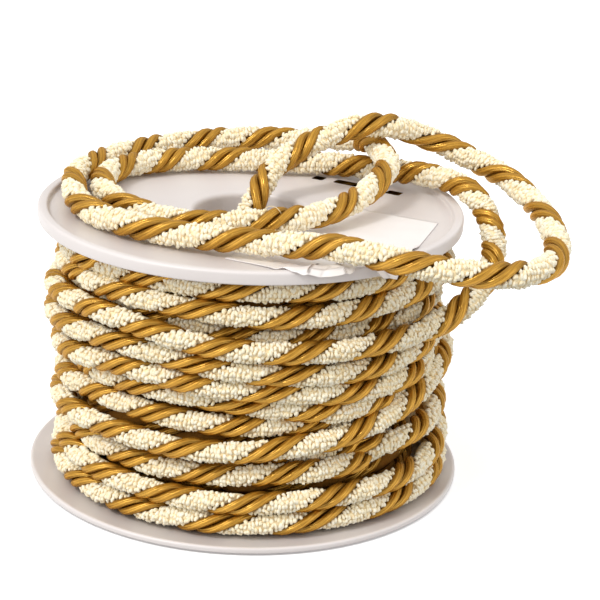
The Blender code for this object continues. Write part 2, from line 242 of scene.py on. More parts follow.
# The loose end's centre line, from where it leaves the pack to its end in the bore
ROUTE = (
    (0.0504, -0.0296, 0.0547), (0.0566, -0.0242, 0.0568), (0.0616, -0.0204, 0.0600),
    (0.0654, -0.0164, 0.0638), (0.0678, -0.0116, 0.0676), (0.0686, -0.0060, 0.0712),
    (0.0680, -0.0004, 0.0750), (0.0658, 0.0058, 0.0790), (0.0614, 0.0116, 0.0824),
    (0.0544, 0.0186, 0.0834), (0.0460, 0.0252, 0.0828), (0.0380, 0.0302, 0.0818),
    (0.0290, 0.0344, 0.0815), (0.0190, 0.0364, 0.0815), (0.0070, 0.0362, 0.0815),
    (-0.0060, 0.0364, 0.0815), (-0.0180, 0.0350, 0.0815), (-0.0290, 0.0308, 0.0815),
    (-0.0374, 0.0244, 0.0815), (-0.0420, 0.0158, 0.0815), (-0.0428, 0.0054, 0.0815),
    (-0.0406, -0.0036, 0.0815), (-0.0358, -0.0130, 0.0815), (-0.0282, -0.0216, 0.0815),
    (-0.0186, -0.0274, 0.0815), (-0.0070, -0.0286, 0.0817), (0.0046, -0.0268, 0.0823),
    (0.0148, -0.0228, 0.0825), (0.0234, -0.0156, 0.0830), (0.0312, -0.0058, 0.0846),
    (0.0362, 0.0044, 0.0866), (0.0384, 0.0140, 0.0879), (0.0372, 0.0230, 0.0886),
    (0.0340, 0.0320, 0.0895), (0.0298, 0.0420, 0.0878), (0.0226, 0.0502, 0.0854),
    (0.0124, 0.0546, 0.0835), (0.0010, 0.0562, 0.0831), (-0.0100, 0.0544, 0.0829),
    (-0.0216, 0.0496, 0.0825), (-0.0324, 0.0426, 0.0823), (-0.0418, 0.0322, 0.0823),
    (-0.0478, 0.0216, 0.0823), (-0.0509, 0.0118, 0.0821), (-0.0504, 0.0012, 0.0817),
    (-0.0472, -0.0134, 0.0816), (-0.0400, -0.0248, 0.0815), (-0.0286, -0.0338, 0.0815),
    (-0.0160, -0.0396, 0.0817), (-0.0028, -0.0438, 0.0823), (0.0110, -0.0472, 0.0826),
    (0.0226, -0.0510, 0.0837), (0.0330, -0.0576, 0.0841), (0.0436, -0.0602, 0.0830),
    (0.0540, -0.0604, 0.0816), (0.0644, -0.0588, 0.0806), (0.0734, -0.0542, 0.0801),
    (0.0796, -0.0466, 0.0799), (0.0824, -0.0360, 0.0802), (0.0830, -0.0230, 0.0807),
    (0.0816, -0.0070, 0.0815), (0.0782, 0.0080, 0.0825), (0.0718, 0.0210, 0.0846),
    (0.0628, 0.0288, 0.0872), (0.0544, 0.0319, 0.0903), (0.0458, 0.0310, 0.0936),
    (0.0380, 0.0262, 0.0965), (0.0298, 0.0224, 0.0968), (0.0216, 0.0204, 0.0944),
    (0.0136, 0.0172, 0.0912), (0.0074, 0.0124, 0.0880), (0.0036, 0.0066, 0.0844),
    (0.0010, 0.0018, 0.0800), (-0.0012, -0.0016, 0.0744), (-0.0028, -0.0040, 0.0676),
    (-0.0034, -0.0050, 0.0584),
)
# A single fibre that has sprung out of the cord beside the bore
FIBRE = (
    (0.0041, -0.0258, 0.0843), (0.0045, -0.0265, 0.0858), (0.0057, -0.0263, 0.0864),
    (0.0070, -0.0264, 0.0863), (0.0082, -0.0272, 0.0856), (0.0089, -0.0268, 0.0844),
)
FIBRE_R = 0.00009
# Where the middle of each gold pair shows along the loose end, in the photograph's pixels, in its order
LOOSE_GOLD_SEEN = (
    (450, 310), (490, 257), (490, 222), (465, 190), (415, 170), (355, 163), (222, 160), (165, 162),
    (122, 168), (100, 182), (125, 203), (190, 215), (270, 222), (343, 207), (380, 182), (367, 148),
    (330, 149), (262, 137), (197, 137), (135, 146), (92, 165), (73, 183), (85, 208), (150, 228),
    (235, 241), (325, 250), (408, 262), (488, 276), (553, 257), (547, 215), (503, 175), (440, 140),
    (362, 129), (300, 150), (255, 190),
)

# The paper label as it lies: its far edge, left to right, and its near edge, which hangs over the rim and has
# torn back beside a drooping tip
LABEL_FAR = ((0.0230, 0.0070), (0.0525, -0.0068))
LABEL_NEAR = (
    (-0.0052, -0.0454), (0.0001, -0.0480), (0.0067, -0.0515), (0.0096, -0.0552), (0.0125, -0.0586),
    (0.0140, -0.0593), (0.0153, -0.0597), (0.0170, -0.0594), (0.0222, -0.0581), (0.0273, -0.0560),
    (0.0282, -0.0550), (0.0284, -0.0531), (0.0338, -0.0509), (0.0345, -0.0522), (0.0362, -0.0530),
    (0.0396, -0.0513),
)
LABEL_THICK = 0.00022
LABEL_LIFT = 0.0002        # the middle of the paper above what it lies on
LABEL_COLUMNS, LABEL_ROWS = 110, 64
# Most columns stand in the crumpled part of the near edge, and the rows crowd towards it
LABEL_COLUMNS_AT = ((0.0, 0.15, 0.9, 1.0), (0.0, 0.35, 0.95, 1.0))
LABEL_CROWD = 1.5
LABEL_RAMP = 0.0035
LABEL_CLEAR, LABEL_DROOP = 0.0008, 0.85           # past the rim it runs level, and then falls
# Its creases: both ends, height, reach to either side and how dark the painted shade along each is
Crease = namedtuple("Crease", "x0 y0 x1 y1 height wide dark")
CREASES = (
    Crease(0.0190, -0.0480, 0.0166, -0.0590, 0.0007, 0.0011, 1.0),
    Crease(0.0222, -0.0530, 0.0196, -0.0590, -0.0004, 0.0010, 0.2),
    Crease(0.0240, -0.0520, 0.0262, -0.0562, 0.0006, 0.0010, 0.7),
    Crease(0.0170, -0.0576, 0.0270, -0.0548, 0.0004, 0.0010, 0.5),
    Crease(0.0000, -0.0480, 0.0120, -0.0560, 0.0003, 0.0016, 0.0),
    Crease(0.0350, -0.0500, 0.0375, -0.0520, 0.0004, 0.0010, 0.4),
)
CREASES_FROM, CREASES_RAMP = 0.047, 0.006         # radius where they begin, and how soon they stand full
FOLD_LINE = 0.00032        # how wide the painted shade along a crease is


def srgb(code):
    """A colour written as six hexadecimal digits, as linear red, green, blue and 1."""
    parts = [int(code[i:i + 2], 16) / 255 for i in (0, 2, 4)]
    return tuple(c / 12.92 if c <= 0.04045 else ((c + 0.055) / 1.055) ** 2.4 for c in parts) + (1.0,)


# A Mix node that blends colours has them at its inputs 6 and 7 and gives them at its output 2
COLOURS = {"out": 2, "data_type": "RGBA"}


def feed(tree, node, inputs):
    """Gives a node's inputs a value or a link each, in their order or by name or number."""
    for key, value in inputs.items() if isinstance(inputs, dict) else enumerate(inputs):
        if isinstance(value, bpy.types.NodeSocket):
            tree.links.new(value, node.inputs[key])
        else:
            node.inputs[key].default_value = value


def add(tree, kind, inputs=(), out=0, **settings):
    """Adds a node with its settings and inputs. Returns its first output, another one or, for None, it."""
    node = tree.nodes.new(kind)
    for name, value in settings.items():
        setattr(node, name, value)
    feed(tree, node, inputs)
    return node if out is None else node.outputs[out]


def placed(name, data):
    """A new object in the scene."""
    obj = bpy.data.objects.new(name, data)
    bpy.context.scene.collection.objects.link(obj)
    return obj


def plain_mesh(obj):
    """What an object's modifiers make, as a mesh of its own."""
    bpy.context.view_layer.update()
    return bpy.data.meshes.new_from_object(obj.evaluated_get(bpy.context.evaluated_depsgraph_get()))


def closed_mesh(name, shape):
    """A mesh from a bmesh, its faces pointing outwards."""
    bmesh.ops.recalc_face_normals(shape, faces=shape.faces)
    mesh = bpy.data.meshes.new(name)
    shape.to_mesh(mesh)
    shape.free()
    return mesh


def note(mesh, title, values):
    """Stores a number or a vector for each point of a mesh."""
    kind, field = ("FLOAT_VECTOR", "vector") if values.ndim == 2 else ("FLOAT", "value")
    mesh.attributes.new(title, kind, "POINT").data.foreach_set(field, values.astype(np.float32).ravel())


def eased(share):
    """A share held between 0 and 1 that starts and stops softly."""
    share = np.clip(share, 0, 1)
    return share * share * (3 - 2 * share)


# Camera and light

def camera_axes():
    forward = Vector((0.0, math.cos(CAMERA_ELEVATION), -math.sin(CAMERA_ELEVATION)))
    level = Vector((1.0, 0.0, 0.0))
    upright = level.cross(forward)
    right = math.cos(CAMERA_ROLL) * level + math.sin(CAMERA_ROLL) * upright
    up = -math.sin(CAMERA_ROLL) * level + math.cos(CAMERA_ROLL) * upright
    return right, up, forward, Vector(CAMERA_TARGET) - CAMERA_DISTANCE * forward


def add_camera():
    right, up, forward, place = camera_axes()
    data = bpy.data.cameras.new("camera")
    data.sensor_width = SENSOR
    data.lens = FOCAL_PIXELS / IMAGE_SIDE * SENSOR
    data.clip_start = 0.01
    data.clip_end = 20.0
    camera = placed("camera", data)
    facing = Matrix((right, up, -forward)).transposed()
    camera.matrix_world = Matrix.Translation(place) @ facing.to_4x4()
    bpy.context.scene.camera = camera


def seen_at(points):
    """Where points fall in the photograph, in its pixels."""
    right, up, forward, place = (np.array(v) for v in camera_axes())
    from_camera = points - place
    far = from_camera @ forward
    middle = IMAGE_SIDE / 2
    x = middle + FOCAL_PIXELS * (from_camera @ right) / far
    y = middle - FOCAL_PIXELS * (from_camera @ up) / far
    return np.stack([x, y], axis=1)


def add_lamp(lamp):
    """A lamp aimed at the middle of the spool."""
    data = bpy.data.lights.new(lamp.name, lamp.kind)
    data.energy = lamp.strength
    for title, value in lamp.settings.items():
        setattr(data, title, value)
    light = placed(lamp.name, data)
    light.location = lamp.place
    light.rotation_euler = (Vector(LAMPS_AIM) - Vector(lamp.place)).to_track_quat("-Z", "Y").to_euler()


def add_studio():
    """A white table in a white tent, lit through its roof from the upper left, in front."""
    scene = bpy.context.scene
    scene.view_settings.view_transform = "Standard"
    world = bpy.data.worlds.new("white_tent")
    world.use_nodes = True
    tree = world.node_tree
    place = add(tree, "ShaderNodeTexCoord", out="Generated")
    rise = add(tree, "ShaderNodeSeparateXYZ", {"Vector": place}, out="Z")
    glow = TENT_UNDER
    for low, high, brighter in ((-0.1, 0.0, TENT_WALL), (0.0, 1.0, TENT_ROOF)):
        glow = add(tree, "ShaderNodeMapRange", {
            "Value": rise, "From Min": low, "From Max": high, "To Min": glow, "To Max": brighter,
        })
    feed(tree, tree.nodes["Background"], {"Color": srgb(WHITE), "Strength": glow})
    scene.world = world
    for lamp in LAMPS:
        add_lamp(lamp)
    mesh = bpy.data.meshes.new("table_top")
    corners = [(x * TABLE_HALF, y * TABLE_HALF, 0) for x, y in ((-1, -1), (1, -1), (1, 1), (-1, 1))]
    mesh.from_pydata(corners, [], [(0, 1, 2, 3)])
    mesh.materials.append(white_table())
    floor = placed("table_top", mesh)
    floor.location = (0.0, 0.0, -TABLE_DROP)
    floor.visible_diffuse = False


# Materials

def new_material(name):
    material = bpy.data.materials.new(name)
    material.use_nodes = True
    return material, material.node_tree, material.node_tree.nodes["Principled BSDF"]


def white_table():
    """Matt white laminate on a light table: pressed flat, so nearly even, with a faint grey 1 mm grain."""
    material, tree, shader = new_material("white laminate")
    place = add(tree, "ShaderNodeTexCoord", out="Object")
    grain = add(tree, "ShaderNodeTexNoise", {"Vector": place, "Scale": 900.0, "Detail": 2.0})
    tone = add(tree, "ShaderNodeMix", {0: grain, 6: srgb("F9F9FA"), 7: srgb("FDFDFD")}, **COLOURS)
    # Painted contact shadow: the table's glow is taken away under the spool, up to just inside the lower
    # flange's rim, so a dark line shows under its edge
    flat = add(tree, "ShaderNodeVectorMath", (place, (1.0, 1.0, 0.0)), operation="MULTIPLY")
    out_from_middle = add(tree, "ShaderNodeVectorMath", (flat,), out="Value", operation="LENGTH")
    glow = add(tree, "ShaderNodeMapRange", {
        "Value": out_from_middle, "From Min": GLOW_FROM, "From Max": GLOW_FULL, "To Max": TABLE_GLOW,
    })
    feed(tree, shader, {
        "Base Color": tone, "Roughness": 0.6, "Emission Color": srgb(WHITE), "Emission Strength": glow,
    })
    return material


def moulded_plastic():
    """Polystyrene, injection moulded: milky white, soft gloss, a fine orange-peel skin, drawn 0.7 mm wide so
    that it shows, and a little handling dust in clouds of 20 mm."""
    material, tree, shader = new_material("moulded white polystyrene")
    place = add(tree, "ShaderNodeTexCoord", out="Object")
    cloud = add(tree, "ShaderNodeTexNoise", {"Vector": place, "Scale": 45.0, "Detail": 3.0})
    tone = add(tree, "ShaderNodeMix", {0: cloud, 6: srgb("D6CECA"), 7: srgb("E0D9D6")}, **COLOURS)
    peel = add(tree, "ShaderNodeTexNoise", {"Vector": place, "Scale": 1400.0, "Detail": 2.0})
    rough = add(tree, "ShaderNodeMapRange", {"Value": cloud, "To Min": 0.32, "To Max": 0.44})
    bump = add(tree, "ShaderNodeBump", {"Strength": 0.12, "Distance": 0.0001, "Height": peel})
    feed(tree, shader, {"Base Color": tone, "Roughness": rough, "Normal": bump, "IOR": 1.55})
    return material


def gold_satin():
    """Viscose satin yarn, spun bright and laid nearly straight: smooth, with a narrow pale streak along each
    ply where it turns to the light, and painted shade, deep brown, where it rolls in against its neighbour."""
    material, tree, shader = new_material("gold viscose satin")
    ring, strand = (add(tree, "ShaderNodeAttribute", out="Vector", attribute_name=title)
                    for title in ("ring", "strand"))
    along, proud = (add(tree, "ShaderNodeAttribute", out="Fac", attribute_name=title)
                    for title in ("along", "proud"))
    # Bundles of filament turn round each other in the ply, with a narrow line of painted shade between two of
    # them
    split = add(tree, "ShaderNodeSeparateXYZ", {"Vector": ring}, out=None).outputs
    angle = add(tree, "ShaderNodeMath", (split["Y"], split["X"]), operation="ARCTAN2")
    turned = add(tree, "ShaderNodeMath", (along, math.tau / LOBE_LAY, angle), operation="MULTIPLY_ADD")
    halved = add(tree, "ShaderNodeMath", (turned, BUNDLES / 2), operation="MULTIPLY")
    wave = add(tree, "ShaderNodeMath", (halved,), operation="COSINE")
    bundle = add(tree, "ShaderNodeMath", (wave,), operation="ABSOLUTE")
    # Single filaments are too fine to show, so their streaks are drawn 0.3 mm wide and 7 mm long
    across = add(tree, "ShaderNodeVectorMath", {0: ring, "Scale": GOLD_R / 0.0003}, operation="SCALE")
    run = add(tree, "ShaderNodeMath", (along, 1 / 0.007), operation="MULTIPLY")
    at = add(tree, "ShaderNodeCombineXYZ", {"Z": run})
    streak_at = add(tree, "ShaderNodeVectorMath", (across, at), operation="ADD")
    streak = add(tree, "ShaderNodeTexNoise", {"Vector": streak_at, "Scale": 1.0, "Detail": 2.0})
    # The yarn's own unevenness, over a few millimetres
    slub = add(tree, "ShaderNodeTexNoise", {"Vector": at, "Scale": 1.3, "Detail": 1.0})
    tone = add(tree, "ShaderNodeMix", {0: streak, 6: srgb("8A5208"), 7: srgb("DCA640")}, **COLOURS)
    # Painted shade: the valley between two bundles is darkened to brown
    bundle_crease_shade = add(tree, "ShaderNodeMapRange", {"Value": bundle, "From Min": 0.0, "From Max": 0.30})
    crease_shaded = add(tree, "ShaderNodeMix", {0: bundle_crease_shade, 6: srgb("743E06"), 7: tone}, **COLOURS)
    # Painted shade: deep brown where the ply lies low, in towards the cord's centre, against its neighbour
    crevice_shade = add(tree, "ShaderNodeMapRange", {"Value": proud, "From Min": 0.62, "From Max": 1.0})
    deep = add(tree, "ShaderNodeMix", {0: crevice_shade, 6: srgb("301004"), 7: crease_shaded}, **COLOURS)
    grain = add(tree, "ShaderNodeMath", (streak, 0.35, bundle), operation="MULTIPLY_ADD")
    height = add(tree, "ShaderNodeMath", (slub, 0.5, grain), operation="MULTIPLY_ADD")
    bump = add(tree, "ShaderNodeBump", {"Strength": 0.55, "Distance": 0.00018, "Height": height})
    rough = add(tree, "ShaderNodeMapRange", {"Value": slub, "To Min": 0.24, "To Max": 0.30})
    feed(tree, shader, {
        "Base Color": deep, "Roughness": rough, "Normal": bump, "Tangent": strand, "IOR": 2.0,
        "Specular IOR Level": 1.0, "Specular Tint": srgb("FFD474"), "Anisotropic": 0.8, "Metallic": 0.35,
    })
    return material


def cream_loops():
    """Unbleached cotton bouclé: soft spun yarn drawn up in small loops, with painted shade, tan below their
    pale crests.
    """
    material, tree, shader = new_material("cream cotton boucle")
    place = add(tree, "ShaderNodeTexCoord", out="Object")
    crest, tint = (add(tree, "ShaderNodeAttribute", out="Fac", attribute_name=title)
                   for title in ("crest", "tint"))
    # Fibres of spun cotton, drawn 0.15 mm wide so that they show
    fibre = add(tree, "ShaderNodeTexNoise", {"Vector": place, "Scale": 1 / 0.00015, "Detail": 2.0})
    # Each loop is two yarns that turn round each other, so it stands in knots 0.7 mm apart
    knot = add(tree, "ShaderNodeTexVoronoi", {"Vector": place, "Scale": 1 / 0.0007, "Smoothness": 0.4},
               feature="SMOOTH_F1")
    # Painted shade: tan towards the foot of each loop, pale on its crest
    rise = add(tree, "ShaderNodeMath", (fibre, 0.35, crest), operation="MULTIPLY_ADD")
    share = add(tree, "ShaderNodeMapRange", {"Value": rise, "From Min": 0.15, "From Max": 0.85})
    pale = add(tree, "ShaderNodeMix", {0: tint, 6: srgb("FAECC8"), 7: srgb("FFF8E2")}, **COLOURS)
    tone = add(tree, "ShaderNodeMix", {0: share, 6: srgb("F0D49C"), 7: pale}, **COLOURS)
    dip = add(tree, "ShaderNodeMath", (knot, -1.6, fibre), operation="MULTIPLY_ADD")
    bump = add(tree, "ShaderNodeBump", {"Strength": 0.6, "Distance": 0.00018, "Height": dip})
    feed(tree, shader, {
        "Base Color": tone, "Roughness": 0.9, "Normal": bump, "Specular IOR Level": 0.2,
        "Sheen Weight": 0.3, "Sheen Roughness": 0.5,
    })
    return material


def core_yarn(name, low, high):
    """The cotton core that the loops stand on: the same fibre, drawn 0.4 mm wide, seen only in shade between
    them, with painted shade, nearly black-brown, on its back where it lies against the gold yarn. It is made
    again in dark brown tones for the layer beneath, as painted shade."""
    material, tree, shader = new_material(name)
    place = add(tree, "ShaderNodeTexCoord", out="Object")
    ring = add(tree, "ShaderNodeAttribute", out="Vector", attribute_name="ring")
    facing = add(tree, "ShaderNodeSeparateXYZ", {"Vector": ring}, out="X")
    fibre = add(tree, "ShaderNodeTexNoise", {"Vector": place, "Scale": 1 / 0.0004, "Detail": 2.0})
    tone = add(tree, "ShaderNodeMix", {0: fibre, 6: srgb(low), 7: srgb(high)}, **COLOURS)
    # Painted shade: the back of the core, in behind the gold pair, turns nearly black-brown
    front = add(tree, "ShaderNodeMapRange", {"Value": facing, "From Min": CREAM_BACK_TO, "From Max": 0.0})
    shade = add(tree, "ShaderNodeMix", {0: front, 6: srgb("341303"), 7: tone}, **COLOURS)
    bump = add(tree, "ShaderNodeBump", {"Strength": 0.8, "Distance": 0.0003, "Height": fibre})
    feed(tree, shader, {"Base Color": shade, "Roughness": 0.95, "Normal": bump, "Specular IOR Level": 0.1})
    return material


def label_paper():
    """Coated label paper: white, faintly warm in clouds of 11 mm, satin from its coating over its pulp, drawn
    0.4 mm wide so that it shows, and painted shade, grey-brown, along its folds."""
    material, tree, shader = new_material("coated label paper")
    place = add(tree, "ShaderNodeTexCoord", out="Object")
    pulp = add(tree, "ShaderNodeTexNoise", {"Vector": place, "Scale": 2500.0, "Detail": 3.0})
    cloud = add(tree, "ShaderNodeTexNoise", {"Vector": place, "Scale": 90.0, "Detail": 2.0})
    tone = add(tree, "ShaderNodeMix", {0: cloud, 6: srgb("EAE4E0"), 7: srgb("F6F1EE")}, **COLOURS)
    fold = add(tree, "ShaderNodeAttribute", out="Fac", attribute_name="fold")
    # Painted shade: grey-brown along the creases, by how near each point is to one
    fold_shade = add(tree, "ShaderNodeMix", {0: fold, 6: tone, 7: srgb("6A5648")}, **COLOURS)
    bump = add(tree, "ShaderNodeBump", {"Strength": 0.15, "Distance": 0.00005, "Height": pulp})
    feed(tree, shader, {"Base Color": fold_shade, "Roughness": 0.42, "Normal": bump})
    return material


# Lines that the cord follows

def smooth_line(points, step):
    """A centripetal Catmull-Rom curve through the points, read at even steps along its length."""
    points = np.array(points, float)
    points = np.vstack([2 * points[0] - points[1], points, 2 * points[-1] - points[-2]])
    dense = []
    for p0, p1, p2, p3 in zip(points, points[1:], points[2:], points[3:]):
        t1 = math.sqrt(np.linalg.norm(p1 - p0))
        t2 = t1 + math.sqrt(np.linalg.norm(p2 - p1))
        t3 = t2 + math.sqrt(np.linalg.norm(p3 - p2))
        for t in np.linspace(t1, t2, FACETS, endpoint=False):
            a1 = (t1 - t) / t1 * p0 + t / t1 * p1
            a2 = (t2 - t) / (t2 - t1) * p1 + (t - t1) / (t2 - t1) * p2
            a3 = (t3 - t) / (t3 - t2) * p2 + (t - t2) / (t3 - t2) * p3
            b1 = (t2 - t) / t2 * a1 + t / t2 * a2
            b2 = (t3 - t) / (t3 - t1) * a2 + (t - t1) / (t3 - t1) * a3
            dense.append((t2 - t) / (t2 - t1) * b1 + (t - t1) / (t2 - t1) * b2)
    dense = np.array(dense + [points[-2]])
    run = run_along(dense)
    places = np.linspace(0, run[-1], round(run[-1] / step) + 1)
    return np.stack([np.interp(places, run, dense[:, axis]) for axis in range(3)], axis=1)


def run_along(points):
    return np.concatenate([[0.0], np.cumsum(np.linalg.norm(np.diff(points, axis=0), axis=1))])


def unit(vectors):
    return vectors / np.linalg.norm(vectors, axis=-1, keepdims=True)


def away(points):
    """The level way from the spool's axis to each point."""
    return unit(points * (1, 1, 0))


def polar(angles, radii, heights):
    """Points in metres from angles in degrees and radii and heights in millimetres."""
    turned = np.radians(angles)
    return np.stack([radii * np.cos(turned), radii * np.sin(turned), heights], axis=1) * MM


def evened(angles, stations, values):
    """A turn's radius or height at each angle, evened out over a few degrees so that no station shows."""
    return np.mean([np.interp(angles + step, stations, values, period=360) for step in EVEN_OUT], axis=0)


def calmed(values):
    """Each value evened out with its neighbours."""
    padded = np.pad(values, 1, mode="edge")
    return 0.25 * padded[:-2] + 0.5 * values + 0.25 * padded[2:]


def settled(heights, wanted, present):
    """Radii of turns that lie on each other: where two come too near, the inner one sinks a little and the
    outer one rises. Each row is a turn and each column a place round the spool."""
    radii = wanted.copy()
    width = PACK_SQUEEZE * CORD_WIDE
    for _ in range(SETTLE_ROUNDS):
        push = np.zeros_like(radii)
        for i, j in combinations(range(len(radii)), 2):
            apart = (heights[j] - heights[i]) / PACK_FLATTEN
            need = np.sqrt(np.maximum(width ** 2 - apart ** 2, 0.0))
            outer = np.where(wanted[j] >= wanted[i], 1.0, -1.0)
            short = np.maximum(need - (radii[j] - radii[i]) * outer, 0.0) * present[i] * present[j]
            push[j] += SETTLE_SHARE * outer * short
            push[i] -= SETTLE_SHARE * outer * short
        radii = np.clip(radii + push, wanted - MOST_SUNK, wanted + MOST_RAISED)
        radii[:-1] = calmed(radii[:-1].reshape(-1)).reshape(radii[:-1].shape)
        radii[-1, 1:-1] = calmed(radii[-1])[1:-1]
    return radii


def wander(columns):
    """How far the turns drift at each of their points, in millimetres, in their radii and their heights."""
    knots = np.random.default_rng(SEED).normal(0.0, WANDER, (2, len(TURNS) * WANDER_KNOTS))
    at = np.linspace(0, knots.shape[1] - 1, len(TURNS) * COLUMNS)
    share = np.where(np.abs(columns % 360 - BACK) < BACK_HALF, 1.0, WANDER_FRONT)
    return [np.interp(at, np.arange(knots.shape[1]), row) * np.tile(share, len(TURNS)) for row in knots]


def wound_lines():
    """The turns as one climbing line, the last turn up to where the loose end begins, and how many points of
    the climbing line lead in to its first turn."""
    columns = CHANGE_TO + 360.0 * np.arange(COLUMNS) / COLUMNS
    share = eased((columns - 360 - CHANGE_FROM) / (CHANGE_TO - CHANGE_FROM))
    rings = np.array([evened(columns, HEIGHT_AT, turn.heights) for turn in TURNS])
    reach = np.array([evened(columns, RADIUS_AT, turn.radii) for turn in TURNS])
    heights = (1 - share) * rings + share * np.vstack([rings[1:], rings[-1:]])
    radii = (1 - share) * reach + share * np.vstack([reach[1:], reach[-1:] - DIVE])
    last_heights = evened(columns, HEIGHT_AT, LAST.heights)
    last_radii = np.interp(columns, LAST_RADIUS_AT, LAST.radii, period=360)
    rises, leaves = columns >= 360 + LAST_RADIUS_AT[0], columns <= LAST_RADIUS_AT[-1]
    present = np.vstack([np.ones_like(heights), rises | leaves])
    radii = settled(np.vstack([heights, last_heights]), np.vstack([radii, last_radii]), present)
    radius_drift, height_drift = wander(columns)
    # The first turn climbs in from the layer below, ahead of its own full round
    lead = np.linspace(LEAD_FROM, CHANGE_TO, COLUMNS // 4, endpoint=False)
    sunk = radii[0, 0] - DIVE * (CHANGE_TO - lead) / (CHANGE_TO - LEAD_FROM)
    level = np.full(len(lead), TURNS[0].heights[0])
    chain = polar(
        np.concatenate([lead, (columns + 360.0 * np.arange(len(TURNS))[:, None]).reshape(-1)]),
        np.concatenate([sunk, radii[:-1].reshape(-1) + radius_drift]),
        np.concatenate([level, heights.reshape(-1) + WANDER_HIGH * height_drift]),
    )
    order = np.concatenate([np.flatnonzero(rises), np.flatnonzero(leaves)])
    last = polar(columns[order], radii[-1][order], last_heights[order])
    return chain, last, len(lead)


def under_line():
    """One layer of turns beneath: a flat spiral under the top flange, then a climb down round the pack."""
    winding = np.arange(0.0, 360 * (SPIRAL_R - UNDER_START_R) / CORD_WIDE + 360, SPIRAL_STEP)
    down = np.arange(0.0, 360 * (UNDER_TOP - UNDER_BOTTOM) / UNDER_PITCH, CLIMB_STEP)
    reach = np.minimum(UNDER_START_R + CORD_WIDE * winding / 360, SPIRAL_R)
    spiral = polar(winding, reach, np.full(len(winding), UNDER_TOP))
    drawn_in = np.interp(down, (0, SPIRAL_FALL), (SPIRAL_R, UNDER_R))
    climb = polar(winding[-1] + SPIRAL_STEP + down, drawn_in, UNDER_TOP - UNDER_PITCH * down / 360)
    return np.vstack([spiral, climb])


def sides_of(points, first):
    """A line's heading and a unit vector across it at each point, carried along without turning about it."""
    heading = unit(np.gradient(points, axis=0))
    side = np.array(first, float)
    sides = []
    for way in heading:
        side = unit(side - (side @ way) * way)
        sides.append(side)
    return heading, np.array(sides)


def twist_of(points, heading, sides, marks):
    """The cord's twist at each point, so that a gold pair faces the camera at each marked run. The lay is
    left-handed, and its changes are evened out over one lay."""
    run = run_along(points)
    camera = np.array(camera_axes()[3])
    across = np.cross(heading, sides)
    turns = []
    for mark in marks:
        k = min(int(np.searchsorted(run, mark)), len(run) - 1)
        view = camera - points[k]
        facing = math.atan2(view @ across[k], view @ sides[k])
        if turns:
            expected = turns[-1] - math.tau * (mark - last_mark) / LAY
            facing += math.tau * round((expected - facing) / math.tau)
        turns.append(facing)
        last_mark = mark
    ends = [turns[0] + math.tau * marks[0] / LAY, turns[-1] - math.tau * (run[-1] - marks[-1]) / LAY]
    twist = np.interp(run, [0.0, *marks, run[-1]], [ends[0], *turns, ends[1]])
    half = round(LAY / 2 / (run[-1] / len(run)))
    window = np.hanning(2 * half + 3)[1:-1]
    plain = -math.tau * run / LAY
    return plain + np.convolve(np.pad(twist - plain, half, mode="edge"), window / window.sum(), mode="valid")


def marks_on_turn(points, run, low, high, pixels):
    """Runs along a wound turn, between two of its points, where it shows at the pixel columns given."""
    across = seen_at(points[low:high])[:, 0]
    return sorted(run[low + int(np.abs(across - x).argmin())] for x in pixels)


def marks_on_line(points, run, start, pixels):
    """Runs along a line where it passes the pixels given, each a little after the one before it."""
    seen = seen_at(points)
    soonest, latest = (share * LAY for share in NEXT_MARK)
    marks = []
    at = start
    for pixel in pixels:
        ahead = np.flatnonzero((run > at + soonest) & (run < at + latest))
        nearest = ahead[np.hypot(*(seen[ahead] - pixel).T).argmin()]
        at = run[nearest]
        marks.append(at)
    return marks


Guide = namedtuple("Guide", "points sides twist open_side")


def part_of(guide, low, high):
    return Guide(*(values[low:high] for values in guide))


def end_guide(last):
    """The last turn and the loose end as one line, and the number of its point where the loose end begins."""
    free = smooth_line(np.vstack([last[-JOIN::JOIN_STEP], ROUTE]), GUIDE_STEP)
    start = int(np.linalg.norm(free - np.array(ROUTE[0]), axis=1).argmin())
    whole = np.vstack([last[:-JOIN], free])
    leave = len(last) - JOIN + start
    heading, sides = sides_of(whole, away(whole[0]))
    run = run_along(whole)
    seen_from = len(last) // 3
    marks = marks_on_turn(whole, run, seen_from, leave, LAST.gold_seen)
    marks += marks_on_line(whole, run, marks[-1], LOOSE_GOLD_SEEN)
    # Only the wound stretch lies against turns beneath it
    open_side = away(whole) * (np.arange(len(whole)) < leave)[:, None]
    return Guide(whole, sides, twist_of(whole, heading, sides, marks), open_side), leave


def pack_guide(chain, lead):
    """The wound turns, whose side stays away from the spool's axis."""
    heading = unit(np.gradient(chain, axis=0))
    sides = away(chain)
    sides = unit(sides - (sides * heading).sum(axis=1, keepdims=True) * heading)
    run = run_along(chain)
    marks = []
    for number, turn in enumerate(TURNS):
        low, high = (lead + number * COLUMNS + COLUMNS * (angle - CHANGE_TO) // 360 for angle in FRONT)
        marks += marks_on_turn(chain, run, low, high, turn.gold_seen)
    return Guide(chain, sides, twist_of(chain, heading, sides, marks), away(chain))


def under_guide():
    """The layer beneath, with an even twist."""
    line = under_line()
    _, sides = sides_of(line, (1.0, 0.0, 0.0))
    return Guide(line, sides, -math.tau * run_along(line) / LAY, away(line))


def guide_object(name, guides):
    """A mesh of lines that carries each cord's side, twist and open side for the node trees to read."""
    edges = []
    first = 0
    for g in guides:
        edges += [(first + i, first + i + 1) for i in range(len(g.points) - 1)]
        first += len(g.points)
    points, sides, twist, open_side = (np.concatenate(values) for values in zip(*guides))
    mesh = bpy.data.meshes.new(name)
    mesh.from_pydata(points.tolist(), edges, [])
    for title, values in (("side", sides), ("open_side", open_side), ("turn", twist)):
        note(mesh, title, values)
    return placed(name, mesh)


# Node trees

